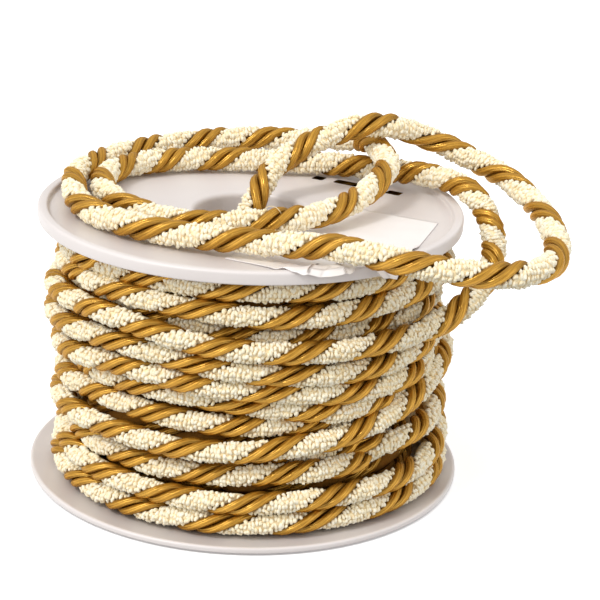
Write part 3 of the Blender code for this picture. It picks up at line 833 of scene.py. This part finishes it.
def new_tree(name, numbers, counts=(), materials=()):
    """A geometry tree with a geometry input and output, and a named input for each size and material."""
    tree = bpy.data.node_groups.new(name, "GeometryNodeTree")
    tree.interface.new_socket("Geometry", in_out="OUTPUT", socket_type="NodeSocketGeometry")
    inputs = {"Geometry": ("Geometry",), "Float": numbers, "Int": counts, "Material": materials}
    for kind, titles in inputs.items():
        for title in titles:
            tree.interface.new_socket(title, in_out="INPUT", socket_type="NodeSocket" + kind)
    return tree, tree.nodes.new("NodeGroupInput").outputs, tree.nodes.new("NodeGroupOutput").inputs


def blended(tree, *parts):
    """The sum of two vectors, each scaled by its own share."""
    first, second = (add(tree, "ShaderNodeVectorMath", {0: vector, "Scale": share}, operation="SCALE")
                     for vector, share in parts)
    return add(tree, "ShaderNodeVectorMath", (first, second), operation="ADD")


def ply_line_tree():
    """Turns a guide mesh into a curve that carries at each point the cord's centre, the way along it, the way
    out to one ply and the way across that."""
    tree, given, result = new_tree("ply line", ("Shift",))
    line = add(tree, "GeometryNodeMeshToCurve", {"Mesh": given["Geometry"]})
    side = add(tree, "GeometryNodeInputNamedAttribute", {"Name": "side"}, data_type="FLOAT_VECTOR")
    turn = add(tree, "GeometryNodeInputNamedAttribute", {"Name": "turn"}, data_type="FLOAT")
    way = add(tree, "GeometryNodeInputTangent")
    across = add(tree, "ShaderNodeVectorMath", (way, side), operation="CROSS_PRODUCT")
    angle = add(tree, "ShaderNodeMath", (turn, given["Shift"]), operation="ADD")
    cosine, sine = (add(tree, "ShaderNodeMath", (angle,), operation=wave) for wave in ("COSINE", "SINE"))
    outward = blended(tree, (side, cosine), (across, sine))
    beside = add(tree, "ShaderNodeVectorMath", (way, outward), operation="CROSS_PRODUCT")
    place = add(tree, "GeometryNodeInputPosition")
    length = add(tree, "GeometryNodeSplineParameter", out="Length")
    for title, value, kind in (
        ("centre", place, "FLOAT_VECTOR"), ("way", way, "FLOAT_VECTOR"), ("outward", outward, "FLOAT_VECTOR"),
        ("beside", beside, "FLOAT_VECTOR"), ("along", length, "FLOAT"),
    ):
        line = add(tree, "GeometryNodeStoreNamedAttribute", {"Geometry": line, "Name": title, "Value": value},
                   data_type=kind)
    tree.links.new(line, result["Geometry"])
    return tree


def finished_tree():
    """Realizes the cord, presses it flat about its centre line, shades it smooth and sets its material."""
    tree, given, result = new_tree("pressed", ("Flatten",), materials=("Material",))
    centre = add(tree, "GeometryNodeInputNamedAttribute", {"Name": "centre"}, data_type="FLOAT_VECTOR")
    whole = add(tree, "GeometryNodeRealizeInstances", {"Geometry": given["Geometry"]})
    place = add(tree, "GeometryNodeInputPosition")
    arm = add(tree, "ShaderNodeVectorMath", (place, centre), operation="SUBTRACT")
    less = add(tree, "ShaderNodeMath", (given["Flatten"], 1.0), operation="SUBTRACT")
    squash = add(tree, "ShaderNodeCombineXYZ", {"Z": less})
    offset = add(tree, "ShaderNodeVectorMath", (arm, squash), operation="MULTIPLY")
    pressed = add(tree, "GeometryNodeSetPosition", {"Geometry": whole, "Offset": offset})
    smooth = add(tree, "GeometryNodeSetShadeSmooth", {"Geometry": pressed})
    painted = add(tree, "GeometryNodeSetMaterial", {"Geometry": smooth, "Material": given["Material"]})
    tree.links.new(painted, result["Geometry"])
    return tree


def ply_start(name, ply_line, numbers, counts, carried):
    """A tree for one ply, with the line that it follows and the vectors that are carried to its points."""
    tree, given, result = new_tree(name, ("Shift", *numbers, "Flatten"), counts, ("Material",))
    line = add(tree, "GeometryNodeGroup", {title: given[title] for title in ("Geometry", "Shift")},
               node_tree=ply_line)
    fields = {title: add(tree, "GeometryNodeInputNamedAttribute", {"Name": title}, data_type="FLOAT_VECTOR")
              for title in carried}
    return tree, given, result, line, fields


def ply_end(tree, given, result, shape, finished):
    """Sends a ply's shape to its tree's output, pressed and painted."""
    inputs = {"Geometry": shape, "Flatten": given["Flatten"], "Material": given["Material"]}
    tree.links.new(add(tree, "GeometryNodeGroup", inputs, node_tree=finished), result["Geometry"])
    return tree


def ply_tube(tree, line, sides, radius):
    """A closed tube along a line, which carries the way round it as a ring."""
    circle = add(tree, "GeometryNodeCurvePrimitiveCircle", {"Resolution": sides, "Radius": radius})
    place = add(tree, "GeometryNodeInputPosition")
    way_round = add(tree, "ShaderNodeVectorMath", (place,), operation="NORMALIZE")
    profile = add(tree, "GeometryNodeStoreNamedAttribute",
                  {"Geometry": circle, "Name": "ring", "Value": way_round}, data_type="FLOAT_VECTOR")
    return add(tree, "GeometryNodeCurveToMesh", {"Curve": line, "Profile Curve": profile, "Fill Caps": True})


def gold_tree(ply_line, finished):
    """One gold ply: a tube beside the cord's centre with a faint swell that turns round it. It carries its
    run, its way round and how proud it stands of the cord's centre."""
    tree, given, result, line, fields = ply_start(
        "gold ply", ply_line, ("Reach", "Radius", "Lobe Depth", "Lobe Lay", "Cord Radius"), ("Sides",),
        carried=("outward", "ring", "middle", "centre"))
    offset = add(tree, "ShaderNodeVectorMath", {0: fields["outward"], "Scale": given["Reach"]},
                 operation="SCALE")
    line = add(tree, "GeometryNodeSetPosition", {"Geometry": line, "Offset": offset})
    place = add(tree, "GeometryNodeInputPosition")
    strand = add(tree, "GeometryNodeInputTangent")
    for title, value in (("middle", place), ("strand", strand)):
        line = add(tree, "GeometryNodeStoreNamedAttribute", {"Geometry": line, "Name": title, "Value": value},
                   data_type="FLOAT_VECTOR")
    tube = ply_tube(tree, line, given["Sides"], given["Radius"])
    split = add(tree, "ShaderNodeSeparateXYZ", {"Vector": fields["ring"]}, out=None).outputs
    angle = add(tree, "ShaderNodeMath", (split["Y"], split["X"]), operation="ARCTAN2")
    along = add(tree, "GeometryNodeInputNamedAttribute", {"Name": "along"}, data_type="FLOAT")
    wound = add(tree, "ShaderNodeMath", (along, given["Lobe Lay"]), operation="DIVIDE")
    turned = add(tree, "ShaderNodeMath", (wound, math.tau, angle), operation="MULTIPLY_ADD")
    lobes = add(tree, "ShaderNodeMath", (turned, float(LOBES)), operation="MULTIPLY")
    lobe = add(tree, "ShaderNodeMath", (lobes,), operation="COSINE")
    swell = add(tree, "ShaderNodeMath", (lobe, given["Lobe Depth"]), operation="MULTIPLY")
    arm = add(tree, "ShaderNodeVectorMath", (place, fields["middle"]), operation="SUBTRACT")
    push = add(tree, "ShaderNodeVectorMath", {0: arm, "Scale": swell}, operation="SCALE")
    lobed = add(tree, "GeometryNodeSetPosition", {"Geometry": tube, "Offset": push})
    apart = add(tree, "ShaderNodeVectorMath", (place, fields["centre"]), out="Value", operation="DISTANCE")
    proud = add(tree, "ShaderNodeMath", (apart, given["Cord Radius"]), operation="DIVIDE")
    noted = add(tree, "GeometryNodeStoreNamedAttribute", {"Geometry": lobed, "Name": "proud", "Value": proud},
                data_type="FLOAT")
    return ply_end(tree, given, result, noted, finished)


def cream_core_tree(ply_line, finished):
    """The body of the cream ply: full on the side of the cord across from the gold pair, thin behind it."""
    tree, given, result, line, fields = ply_start(
        "cream body", ply_line, ("Front Radius", "Back Radius"), ("Sides",),
        carried=("ring", "centre", "outward", "beside"))
    tube = ply_tube(tree, line, given["Sides"], 1.0)
    split = add(tree, "ShaderNodeSeparateXYZ", {"Vector": fields["ring"]}, out=None).outputs
    radius = add(tree, "ShaderNodeMapRange", {
        "Value": split["X"], "From Min": CREAM_BACK_TO, "From Max": CREAM_FRONT_FROM,
        "To Min": given["Back Radius"], "To Max": given["Front Radius"],
    }, interpolation_type="SMOOTHSTEP")
    way_round = blended(tree, (fields["outward"], split["X"]), (fields["beside"], split["Y"]))
    arm = add(tree, "ShaderNodeVectorMath", {0: way_round, "Scale": radius}, operation="SCALE")
    target = add(tree, "ShaderNodeVectorMath", (fields["centre"], arm), operation="ADD")
    shaped = add(tree, "GeometryNodeSetPosition", {"Geometry": tube, "Position": target})
    return ply_end(tree, given, result, shaped, finished)


def yarn_loop(tree, given, place):
    """One loop: a long bead, bent down at both ends, which carries how near its crest each point is."""
    ball = add(tree, "GeometryNodeMeshUVSphere", {"Segments": 5, "Rings": 4, "Radius": 1.0})
    axes = add(tree, "ShaderNodeSeparateXYZ", {"Vector": place}, out=None).outputs
    sized = {}
    for axis, title in (("Z", "Loop Long"), ("X", "Loop Wide"), ("Y", "Loop High")):
        half = add(tree, "ShaderNodeMath", (given[title], 0.5), operation="MULTIPLY")
        sized[title] = add(tree, "ShaderNodeMath", (axes[axis], half), operation="MULTIPLY")
    squared = add(tree, "ShaderNodeMath", (axes["Z"], axes["Z"]), operation="MULTIPLY")
    fall = add(tree, "ShaderNodeMath", (squared, given["Loop Bend"]), operation="MULTIPLY")
    lowered = add(tree, "ShaderNodeMath", (sized["Loop High"], fall), operation="SUBTRACT")
    form = add(tree, "ShaderNodeCombineXYZ", {"X": sized["Loop Long"], "Y": sized["Loop Wide"], "Z": lowered})
    crest = add(tree, "ShaderNodeMapRange", {"Value": axes["Y"], "From Min": -0.3, "From Max": 1.0})
    crested = add(tree, "GeometryNodeStoreNamedAttribute",
                  {"Geometry": ball, "Name": "crest", "Value": crest}, data_type="FLOAT")
    return add(tree, "GeometryNodeSetPosition", {"Geometry": crested, "Position": form})


def loops_tree(ply_line, finished):
    """Small arched loops of yarn in staggered rows round the cream side of the cord, where they show."""
    tree, given, result, line, fields = ply_start(
        "yarn loops", ply_line,
        ("Pitch", "Half Spread", "Middle Radius", "Edge Radius", "Loop Long", "Loop Wide", "Loop High",
         "Loop Bend"),
        ("Around", "Seed"), carried=("centre", "way", "outward", "beside", "open_side", "facing"))
    rows = add(tree, "GeometryNodeCurveToPoints", {"Curve": line, "Length": given["Pitch"]}, mode="LENGTH")
    index = add(tree, "GeometryNodeInputIndex")
    numbered = add(tree, "GeometryNodeStoreNamedAttribute", {"Geometry": rows, "Name": "row", "Value": index},
                   data_type="INT")
    copies = add(tree, "GeometryNodeDuplicateElements", {"Geometry": numbered, "Amount": given["Around"]},
                 out=None, domain="POINT").outputs
    row = add(tree, "GeometryNodeInputNamedAttribute", {"Name": "row"}, data_type="INT")
    draws = {}
    for number, (title, low, high) in enumerate(LOOP_DRAWS):
        seed = add(tree, "ShaderNodeMath", (given["Seed"], float(number)), operation="ADD")
        draws[title] = add(tree, "FunctionNodeRandomValue", {2: low, 3: high, "Seed": seed}, out=1,
                           data_type="FLOAT")
    low, high = ROW_LIFT
    row_lift = add(tree, "FunctionNodeRandomValue", {2: low, 3: high, "ID": row, "Seed": given["Seed"]},
                   out=1, data_type="FLOAT")
    # The way round: half a step further on in every other row
    odd = add(tree, "ShaderNodeMath", (row, 2.0), operation="MODULO")
    brick = add(tree, "ShaderNodeMath", (odd, 0.5, 0.25), operation="MULTIPLY_ADD")
    slipped = add(tree, "ShaderNodeMath", (brick, draws["slip round"]), operation="ADD")
    count = add(tree, "ShaderNodeMath", (copies["Duplicate Index"], slipped), operation="ADD")
    share = add(tree, "ShaderNodeMath", (count, given["Around"]), operation="DIVIDE")
    centred = add(tree, "ShaderNodeMath", (share, 2.0, -1.0), operation="MULTIPLY_ADD")
    angle = add(tree, "ShaderNodeMath", (centred, given["Half Spread"]), operation="MULTIPLY")
    cosine, sine = (add(tree, "ShaderNodeMath", (angle,), operation=wave) for wave in ("COSINE", "SINE"))
    facing = blended(tree, (fields["outward"], cosine), (fields["beside"], sine))
    # Its place: out to the round of the ply, unevenly, and a little along it
    radius = add(tree, "ShaderNodeMapRange", {
        "Value": cosine, "From Min": LOOP_EDGE, "From Max": LOOP_MIDDLE,
        "To Min": given["Edge Radius"], "To Max": given["Middle Radius"],
    }, interpolation_type="SMOOTHSTEP")
    uneven = add(tree, "ShaderNodeMath", (draws["lift"], row_lift), operation="ADD")
    factor = add(tree, "ShaderNodeMath", (uneven, 1.0), operation="ADD")
    raised = add(tree, "ShaderNodeMath", (radius, factor), operation="MULTIPLY")
    slip = add(tree, "ShaderNodeMath", (given["Pitch"], draws["slip along"]), operation="MULTIPLY")
    shift = blended(tree, (facing, raised), (fields["way"], slip))
    aimed = add(tree, "GeometryNodeStoreNamedAttribute",
                {"Geometry": copies["Geometry"], "Name": "facing", "Value": facing}, data_type="FLOAT_VECTOR")
    moved = add(tree, "GeometryNodeSetPosition", {"Geometry": aimed, "Offset": shift})
    tinted = add(tree, "GeometryNodeStoreNamedAttribute",
                 {"Geometry": moved, "Name": "tint", "Value": draws["tint"]}, data_type="FLOAT")
    # No loops where the cord lies against the turns beneath it
    place = add(tree, "GeometryNodeInputPosition")
    arm = add(tree, "ShaderNodeVectorMath", (place, fields["centre"]), operation="SUBTRACT")
    openness = add(tree, "ShaderNodeVectorMath", (arm, fields["open_side"]), out="Value",
                   operation="DOT_PRODUCT")
    hidden = add(tree, "FunctionNodeCompare", (openness, BARE_UNDER), data_type="FLOAT",
                 operation="LESS_THAN")
    shown = add(tree, "GeometryNodeDeleteGeometry", {"Geometry": tinted, "Selection": hidden}, domain="POINT")
    # Each stands on the ply, leans its own way and has its own size
    round_way = add(tree, "ShaderNodeVectorMath", (fields["way"], fields["facing"]),
                    operation="CROSS_PRODUCT")
    stand = add(tree, "FunctionNodeAxesToRotation",
                {"Primary Axis": fields["facing"], "Secondary Axis": round_way}, primary_axis="Z",
                secondary_axis="X")
    spin = add(tree, "FunctionNodeAxisAngleToRotation", {"Axis": (0.0, 0.0, 1.0), "Angle": draws["lean"]})
    turned = add(tree, "FunctionNodeRotateRotation", {"Rotation": stand, "Rotate By": spin},
                 rotation_space="LOCAL")
    size = add(tree, "ShaderNodeCombineXYZ", {"X": draws["long"], "Y": draws["wide"], "Z": draws["high"]})
    spread = add(tree, "GeometryNodeInstanceOnPoints", {
        "Points": shown, "Instance": yarn_loop(tree, given, place), "Rotation": turned, "Scale": size,
    })
    return ply_end(tree, given, result, spread, finished)


# Pieces of cord

def grown(name, guide, tree, values):
    """A plain mesh of what the tree makes from a guide, with the tree's inputs set by their identifiers."""
    modifier = guide.modifiers.new(tree.name, "NODES")
    modifier.node_group = tree
    for item in tree.interface.items_tree:
        if item.in_out == "INPUT" and item.name in values:
            modifier[item.identifier] = values[item.name]
    mesh = plain_mesh(guide)
    guide.modifiers.remove(modifier)
    mesh.name = name
    return mesh


def gold_plies(name, guide, trees, material, flatten, sides):
    """Both gold plies of a stretch of cord, as one piece."""
    values = {"Reach": GOLD_REACH, "Radius": GOLD_R, "Sides": sides[0], "Lobe Depth": LOBE_DEPTH,
              "Lobe Lay": LOBE_LAY, "Cord Radius": CORD_D / 2, "Flatten": flatten, "Material": material}
    pair = [placed(name, grown(name, guide, trees["gold"], {**values, "Shift": way * GOLD_SPREAD}))
            for way in (1.0, -1.0)]
    with bpy.context.temp_override(active_object=pair[0], selected_editable_objects=pair):
        bpy.ops.object.join()
    return pair[0]


def cream_core(name, guide, trees, material, flatten, sides, front=CREAM_FRONT_R):
    values = {"Shift": math.pi, "Sides": sides[1], "Front Radius": front, "Back Radius": CREAM_BACK_R,
              "Flatten": flatten, "Material": material}
    return placed(name, grown(name, guide, trees["core"], values))


def cream_pile(name, guide, trees, material, flatten, seed):
    values = {"Shift": math.pi, "Pitch": LOOP_PITCH, "Around": LOOPS_AROUND, "Half Spread": LOOP_SPREAD,
              "Middle Radius": LOOP_MIDDLE_R, "Edge Radius": LOOP_EDGE_R, "Loop Long": LOOP_LONG,
              "Loop Wide": LOOP_WIDE, "Loop High": LOOP_HIGH, "Loop Bend": LOOP_BEND, "Seed": seed,
              "Flatten": flatten, "Material": material}
    return placed(name, grown(name, guide, trees["loops"], values))


def stray_fibre(material):
    """One fibre as a thin closed tube along its given points."""
    curve = bpy.data.curves.new("stray_fibre", "CURVE")
    curve.dimensions = "3D"
    curve.bevel_depth = FIBRE_R
    curve.bevel_resolution = 1
    curve.use_fill_caps = True
    line = curve.splines.new("BEZIER")
    line.bezier_points.add(len(FIBRE) - 1)
    for point, place in zip(line.bezier_points, FIBRE):
        point.co = place
        point.handle_left_type = point.handle_right_type = "AUTO"
    holder = placed("stray_fibre_line", curve)
    mesh = plain_mesh(holder)
    bpy.data.objects.remove(holder, do_unlink=True)
    mesh.materials.clear()
    mesh.materials.append(material)
    return placed("stray_fibre", mesh)


# The spool

def arc(middle, radius, start, end, steps=6):
    """Points of a rounding in a section, between two directions in degrees."""
    angles = np.radians(np.linspace(start, end, steps))
    return [(middle[0] + radius * math.cos(a), middle[1] + radius * math.sin(a)) for a in angles]


def ring_round(name, section, material):
    """A closed ring round Z from a section of radii and heights in millimetres, listed anticlockwise."""
    shape = bmesh.new()
    profile = [shape.verts.new((r * MM, 0.0, z * MM)) for r, z in section]
    edges = [shape.edges.new(pair) for pair in zip(profile, profile[1:] + profile[:1])]
    bmesh.ops.spin(shape, geom=profile + edges, cent=(0, 0, 0), axis=(0, 0, 1), angle=math.tau,
                   steps=SPOOL_SIDES, use_merge=True)
    bmesh.ops.remove_doubles(shape, verts=shape.verts, dist=MERGE)
    mesh = closed_mesh(name, shape)
    mesh.shade_smooth()
    mesh.set_sharp_from_angle(angle=SHARP_EDGE)
    mesh.materials.append(material)
    return placed(name, mesh)


def base_disc(material):
    """The lower flange: a flat dish with a rounded edge, on a foot ring and a ring round the bore."""
    rim, top, face = LOWER_R, LOWER_TOP, LOWER_TOP - BASE_SUNK
    foot, skirt = FOOT_IN + FOOT_DRAFT, SKIRT_HIGH + SKIRT_ROUND
    section = [
        (BORE_R, 0.0), (BORE_R + WALL, 0.0), (BORE_R + WALL + FOOT_DRAFT, FOOT_HIGH), (rim - foot, FOOT_HIGH),
        (rim - FOOT_IN, 0.0), (rim - FOOT_OUT, 0.0), (rim - SKIRT_IN, SKIRT_HIGH),
        *arc((rim - SKIRT_ROUND, skirt), SKIRT_ROUND, -90, 0, 4),
        *arc((rim - BASE_ROUND, top - BASE_ROUND), BASE_ROUND, 0, 90, 7),
        (rim - BASE_LIP_OUT, top), (rim - BASE_LIP_IN, face), (BORE_R, face),
    ]
    return ring_round("base_disc", section, material)


def top_disc(material):
    """The upper flange: a thin flat web inside a rounded lip, its bore eased, with slots moulded through."""
    rim, lip, low, face, top = RIM_R / MM, LIP_IN / MM, UPPER_UNDER, FACE_Z / MM, RIM_TOP / MM
    section = [
        (BORE_R, low), (BORE_R + RING, low), (BORE_R + RING + DRAFT, face - WEB),
        (rim - RIM_WALL - DRAFT, face - WEB), (rim - RIM_WALL, low), (rim - UNDER_ROUND, low),
        *arc((rim - UNDER_ROUND, low + UNDER_ROUND), UNDER_ROUND, -60, 0, 4),
        *arc((rim - LIP_ROUND, top - LIP_ROUND), LIP_ROUND, 0, 90),
        *arc((lip + LIP_ROUND, top - LIP_ROUND), LIP_ROUND, 90, 180),
        *arc((lip - FACE_ROUND, face + FACE_ROUND), FACE_ROUND, 0, -90, 5),
        *arc((BORE_R + BORE_ROUND, face - BORE_ROUND), BORE_ROUND, 90, 180),
    ]
    disc = ring_round("top_disc", section, material)
    for number, slot in enumerate(SLOTS, start=1):
        cutter = slot_cutter(f"slot_{number}", slot)
        cut = disc.modifiers.new(cutter.name, "BOOLEAN")
        cut.operation = "DIFFERENCE"
        cut.object = cutter
        mesh = plain_mesh(disc)
        disc.modifiers.remove(cut)
        disc.data = mesh
        bpy.data.objects.remove(cutter, do_unlink=True)
    return disc


def slot_outline(slot, wider):
    """A slot's outline in plan, in millimetres, with rounded corners, widened all round by a distance."""
    cosine, sine = math.cos(SLOT_LINE), math.sin(SLOT_LINE)
    long, wide = slot.long / 2 - SLOT_CORNER, slot.wide / 2 - SLOT_CORNER
    corners = [
        point for sx, sy, start in ((1, 1, 0), (-1, 1, 90), (-1, -1, 180), (1, -1, 270))
        for point in arc((sx * long, sy * wide), SLOT_CORNER + wider, start, start + 90, 5)
    ]
    return [(slot.x + x * cosine - y * sine, slot.y + x * sine + y * cosine) for x, y in corners]


def slot_cutter(name, slot):
    """A plug through the upper flange: straight down to its face, then flaring, as the slot does beneath."""
    face, above = FACE_Z / MM, RIM_TOP / MM + WEB
    shape = bmesh.new()
    rings = [[shape.verts.new((x * MM, y * MM, z * MM)) for x, y in slot_outline(slot, wider)]
             for z, wider in ((face - 2 * WEB, 2 * SLOT_FLARE), (face, 0.0), (above, 0.0))]
    for low, high in zip(rings, rings[1:]):
        for k in range(len(low)):
            shape.faces.new((low[k - 1], low[k], high[k], high[k - 1]))
    shape.faces.new(rings[0])
    shape.faces.new(rings[-1])
    return placed(name, closed_mesh(name, shape))


def hub_sleeve(material):
    """The tube between the flanges, which shows down the bore: moulded, and grooved where its halves meet."""
    low, high, middle = LOWER_TOP, UPPER_UNDER, (LOWER_TOP + UPPER_UNDER) / 2
    section = [
        (BORE_R, low), (BORE_R + WALL, low), (BORE_R + WALL, high), (BORE_R, high),
        (BORE_R, middle + GROOVE_HIGH), (BORE_R + GROOVE, middle), (BORE_R, middle - GROOVE_HIGH),
    ]
    return ring_round("hub_sleeve", section, material)


# The label

def label_height(x, y):
    """The middle of the paper over the flange's face, up over the lip and down past the rim, as its solid."""
    r = np.hypot(x, y)
    over_lip = eased((r - (LIP_IN - LABEL_RAMP)) / LABEL_RAMP)
    past = np.maximum(r - RIM_R - LABEL_CLEAR, 0.0)
    return FACE_Z + LABEL_LIFT + (RIM_TOP - FACE_Z) * over_lip - LABEL_DROOP * past


def crumple(x, y):
    """Height that the creases add, as sharp ridges along short lines that fade at their ends, and how much
    painted shade lies along them."""
    total = np.zeros_like(x)
    fold_shade = np.zeros_like(x)
    for c in CREASES:
        way = np.array([c.x1 - c.x0, c.y1 - c.y0])
        length = np.linalg.norm(way)
        along = ((x - c.x0) * way[0] + (y - c.y0) * way[1]) / length ** 2
        off = np.abs((x - c.x0) * way[1] - (y - c.y0) * way[0]) / length
        beyond = np.maximum(np.abs(along - 0.5) - 0.5, 0.0) * length
        total += c.height * np.exp(-np.hypot(off, beyond) / c.wide)
        fold_shade = np.maximum(fold_shade, c.dark * np.exp(-(off / FOLD_LINE) ** 2 - (beyond / FOLD_LINE) ** 2))
    return total, fold_shade


def paper_label(material):
    """The label as a grid of points between its far and its near edge, given its thickness."""
    near = np.array(LABEL_NEAR)
    run = run_along(near)
    u = np.interp(np.linspace(0, 1, LABEL_COLUMNS), *LABEL_COLUMNS_AT)
    v = 1 - (1 - np.linspace(0, 1, LABEL_ROWS)) ** LABEL_CROWD
    near_line = np.stack([np.interp(u * run[-1], run, near[:, axis]) for axis in (0, 1)], axis=1)
    far_left, far_right = (np.array(corner) for corner in LABEL_FAR)
    far_line = far_left + u[:, None] * (far_right - far_left)
    plan = far_line[None] + v[:, None, None] * (near_line - far_line)[None]
    x, y = plan[..., 0], plan[..., 1]
    ridges, fold_shade = crumple(x, y)
    z = label_height(x, y) + ridges * np.clip((np.hypot(x, y) - CREASES_FROM) / CREASES_RAMP, 0, 1)
    corners = [row * LABEL_COLUMNS + k for row in range(LABEL_ROWS - 1) for k in range(LABEL_COLUMNS - 1)]
    faces = [(a + LABEL_COLUMNS, a + LABEL_COLUMNS + 1, a + 1, a) for a in corners]
    mesh = bpy.data.meshes.new("label_sheet")
    mesh.from_pydata(np.stack([x, y, z], axis=-1).reshape(-1, 3).tolist(), [], faces)
    mesh.shade_smooth()
    note(mesh, "fold", fold_shade.ravel())
    mesh.materials.append(material)
    sheet = placed("label_sheet", mesh)
    thick = sheet.modifiers.new("paper", "SOLIDIFY")
    thick.thickness = LABEL_THICK
    thick.offset = 0.0
    return sheet


def main():
    add_camera()

    chain, last, lead = wound_lines()
    pack, under = pack_guide(chain, lead), under_guide()
    tail, leave = end_guide(last)
    end_of_last, loose = part_of(tail, 0, leave + 1), part_of(tail, leave, len(tail.points))
    wound_guide = guide_object("wound_guide", [pack, end_of_last])
    loose_guide = guide_object("loose_guide", [loose])
    beneath_guide = guide_object("under_guide", [under])
    thirds = [round(len(chain) * k / 3) for k in range(4)]
    pile_guides = [guide_object("pile_guide", [stretch]) for stretch in (
        *(part_of(pack, low, high + 1) for low, high in zip(thirds, thirds[1:])), end_of_last,
    )]

    ply_line, finished = ply_line_tree(), finished_tree()
    trees = {
        "gold": gold_tree(ply_line, finished),
        "core": cream_core_tree(ply_line, finished),
        "loops": loops_tree(ply_line, finished),
    }
    gold, pile = gold_satin(), cream_loops()
    yarn = core_yarn("cotton core yarn", "F2D8A0", "FFF2D2")
    # A dark brown copy of the core yarn, as painted shade, for the layer beneath, which shows only in deep
    # gaps
    under_yarn_painted_shade = core_yarn("cotton core yarn beneath", "6E4414", "9A6C2C")
    wound_gold = gold_plies("wound_gold_plies", wound_guide, trees, gold, PACK_FLATTEN, WOUND_SIDES)
    wound_core = cream_core("wound_cream_core", wound_guide, trees, yarn, PACK_FLATTEN, WOUND_SIDES)
    names = ("wound_loops_lower", "wound_loops_middle", "wound_loops_upper", "wound_loops_last")
    piles = [
        cream_pile(name, guide, trees, pile, PACK_FLATTEN, SEED + k)
        for k, (name, guide) in enumerate(zip(names, pile_guides))
    ]
    under_gold = gold_plies("under_gold_plies", beneath_guide, trees, gold, PACK_FLATTEN, UNDER_SIDES)
    under_core = cream_core("under_cream_core", beneath_guide, trees, under_yarn_painted_shade, PACK_FLATTEN, UNDER_SIDES,
                            front=UNDER_CREAM_R)
    loose_gold = gold_plies("loose_gold_plies", loose_guide, trees, gold, LOOSE_FLATTEN, LOOSE_SIDES)
    loose_core = cream_core("loose_cream_core", loose_guide, trees, yarn, LOOSE_FLATTEN, LOOSE_SIDES)
    loose_pile = cream_pile("loose_cream_loops", loose_guide, trees, pile, LOOSE_FLATTEN, LOOSE_SEED)
    for guide in (wound_guide, loose_guide, beneath_guide, *pile_guides):
        bpy.data.objects.remove(guide, do_unlink=True)

    fibre = stray_fibre(yarn)
    label = paper_label(label_paper())
    plastic = moulded_plastic()
    spool = {
        "lower_flange": base_disc(plastic),
        "hub_tube": hub_sleeve(plastic),
        "upper_flange": top_disc(plastic),
    }

    for piece in (wound_gold, wound_core, *piles, under_gold, under_core):
        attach(piece, "root")
        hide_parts("wound_cord")
    for piece in (loose_gold, loose_core, loose_pile, fibre):
        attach(piece, "root")
        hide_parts("loose_cord")
    for node, piece in spool.items():
        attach(piece, "root")
        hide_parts(node)
    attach(label, "root")
    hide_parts("paper_label")
    add_studio()


main()
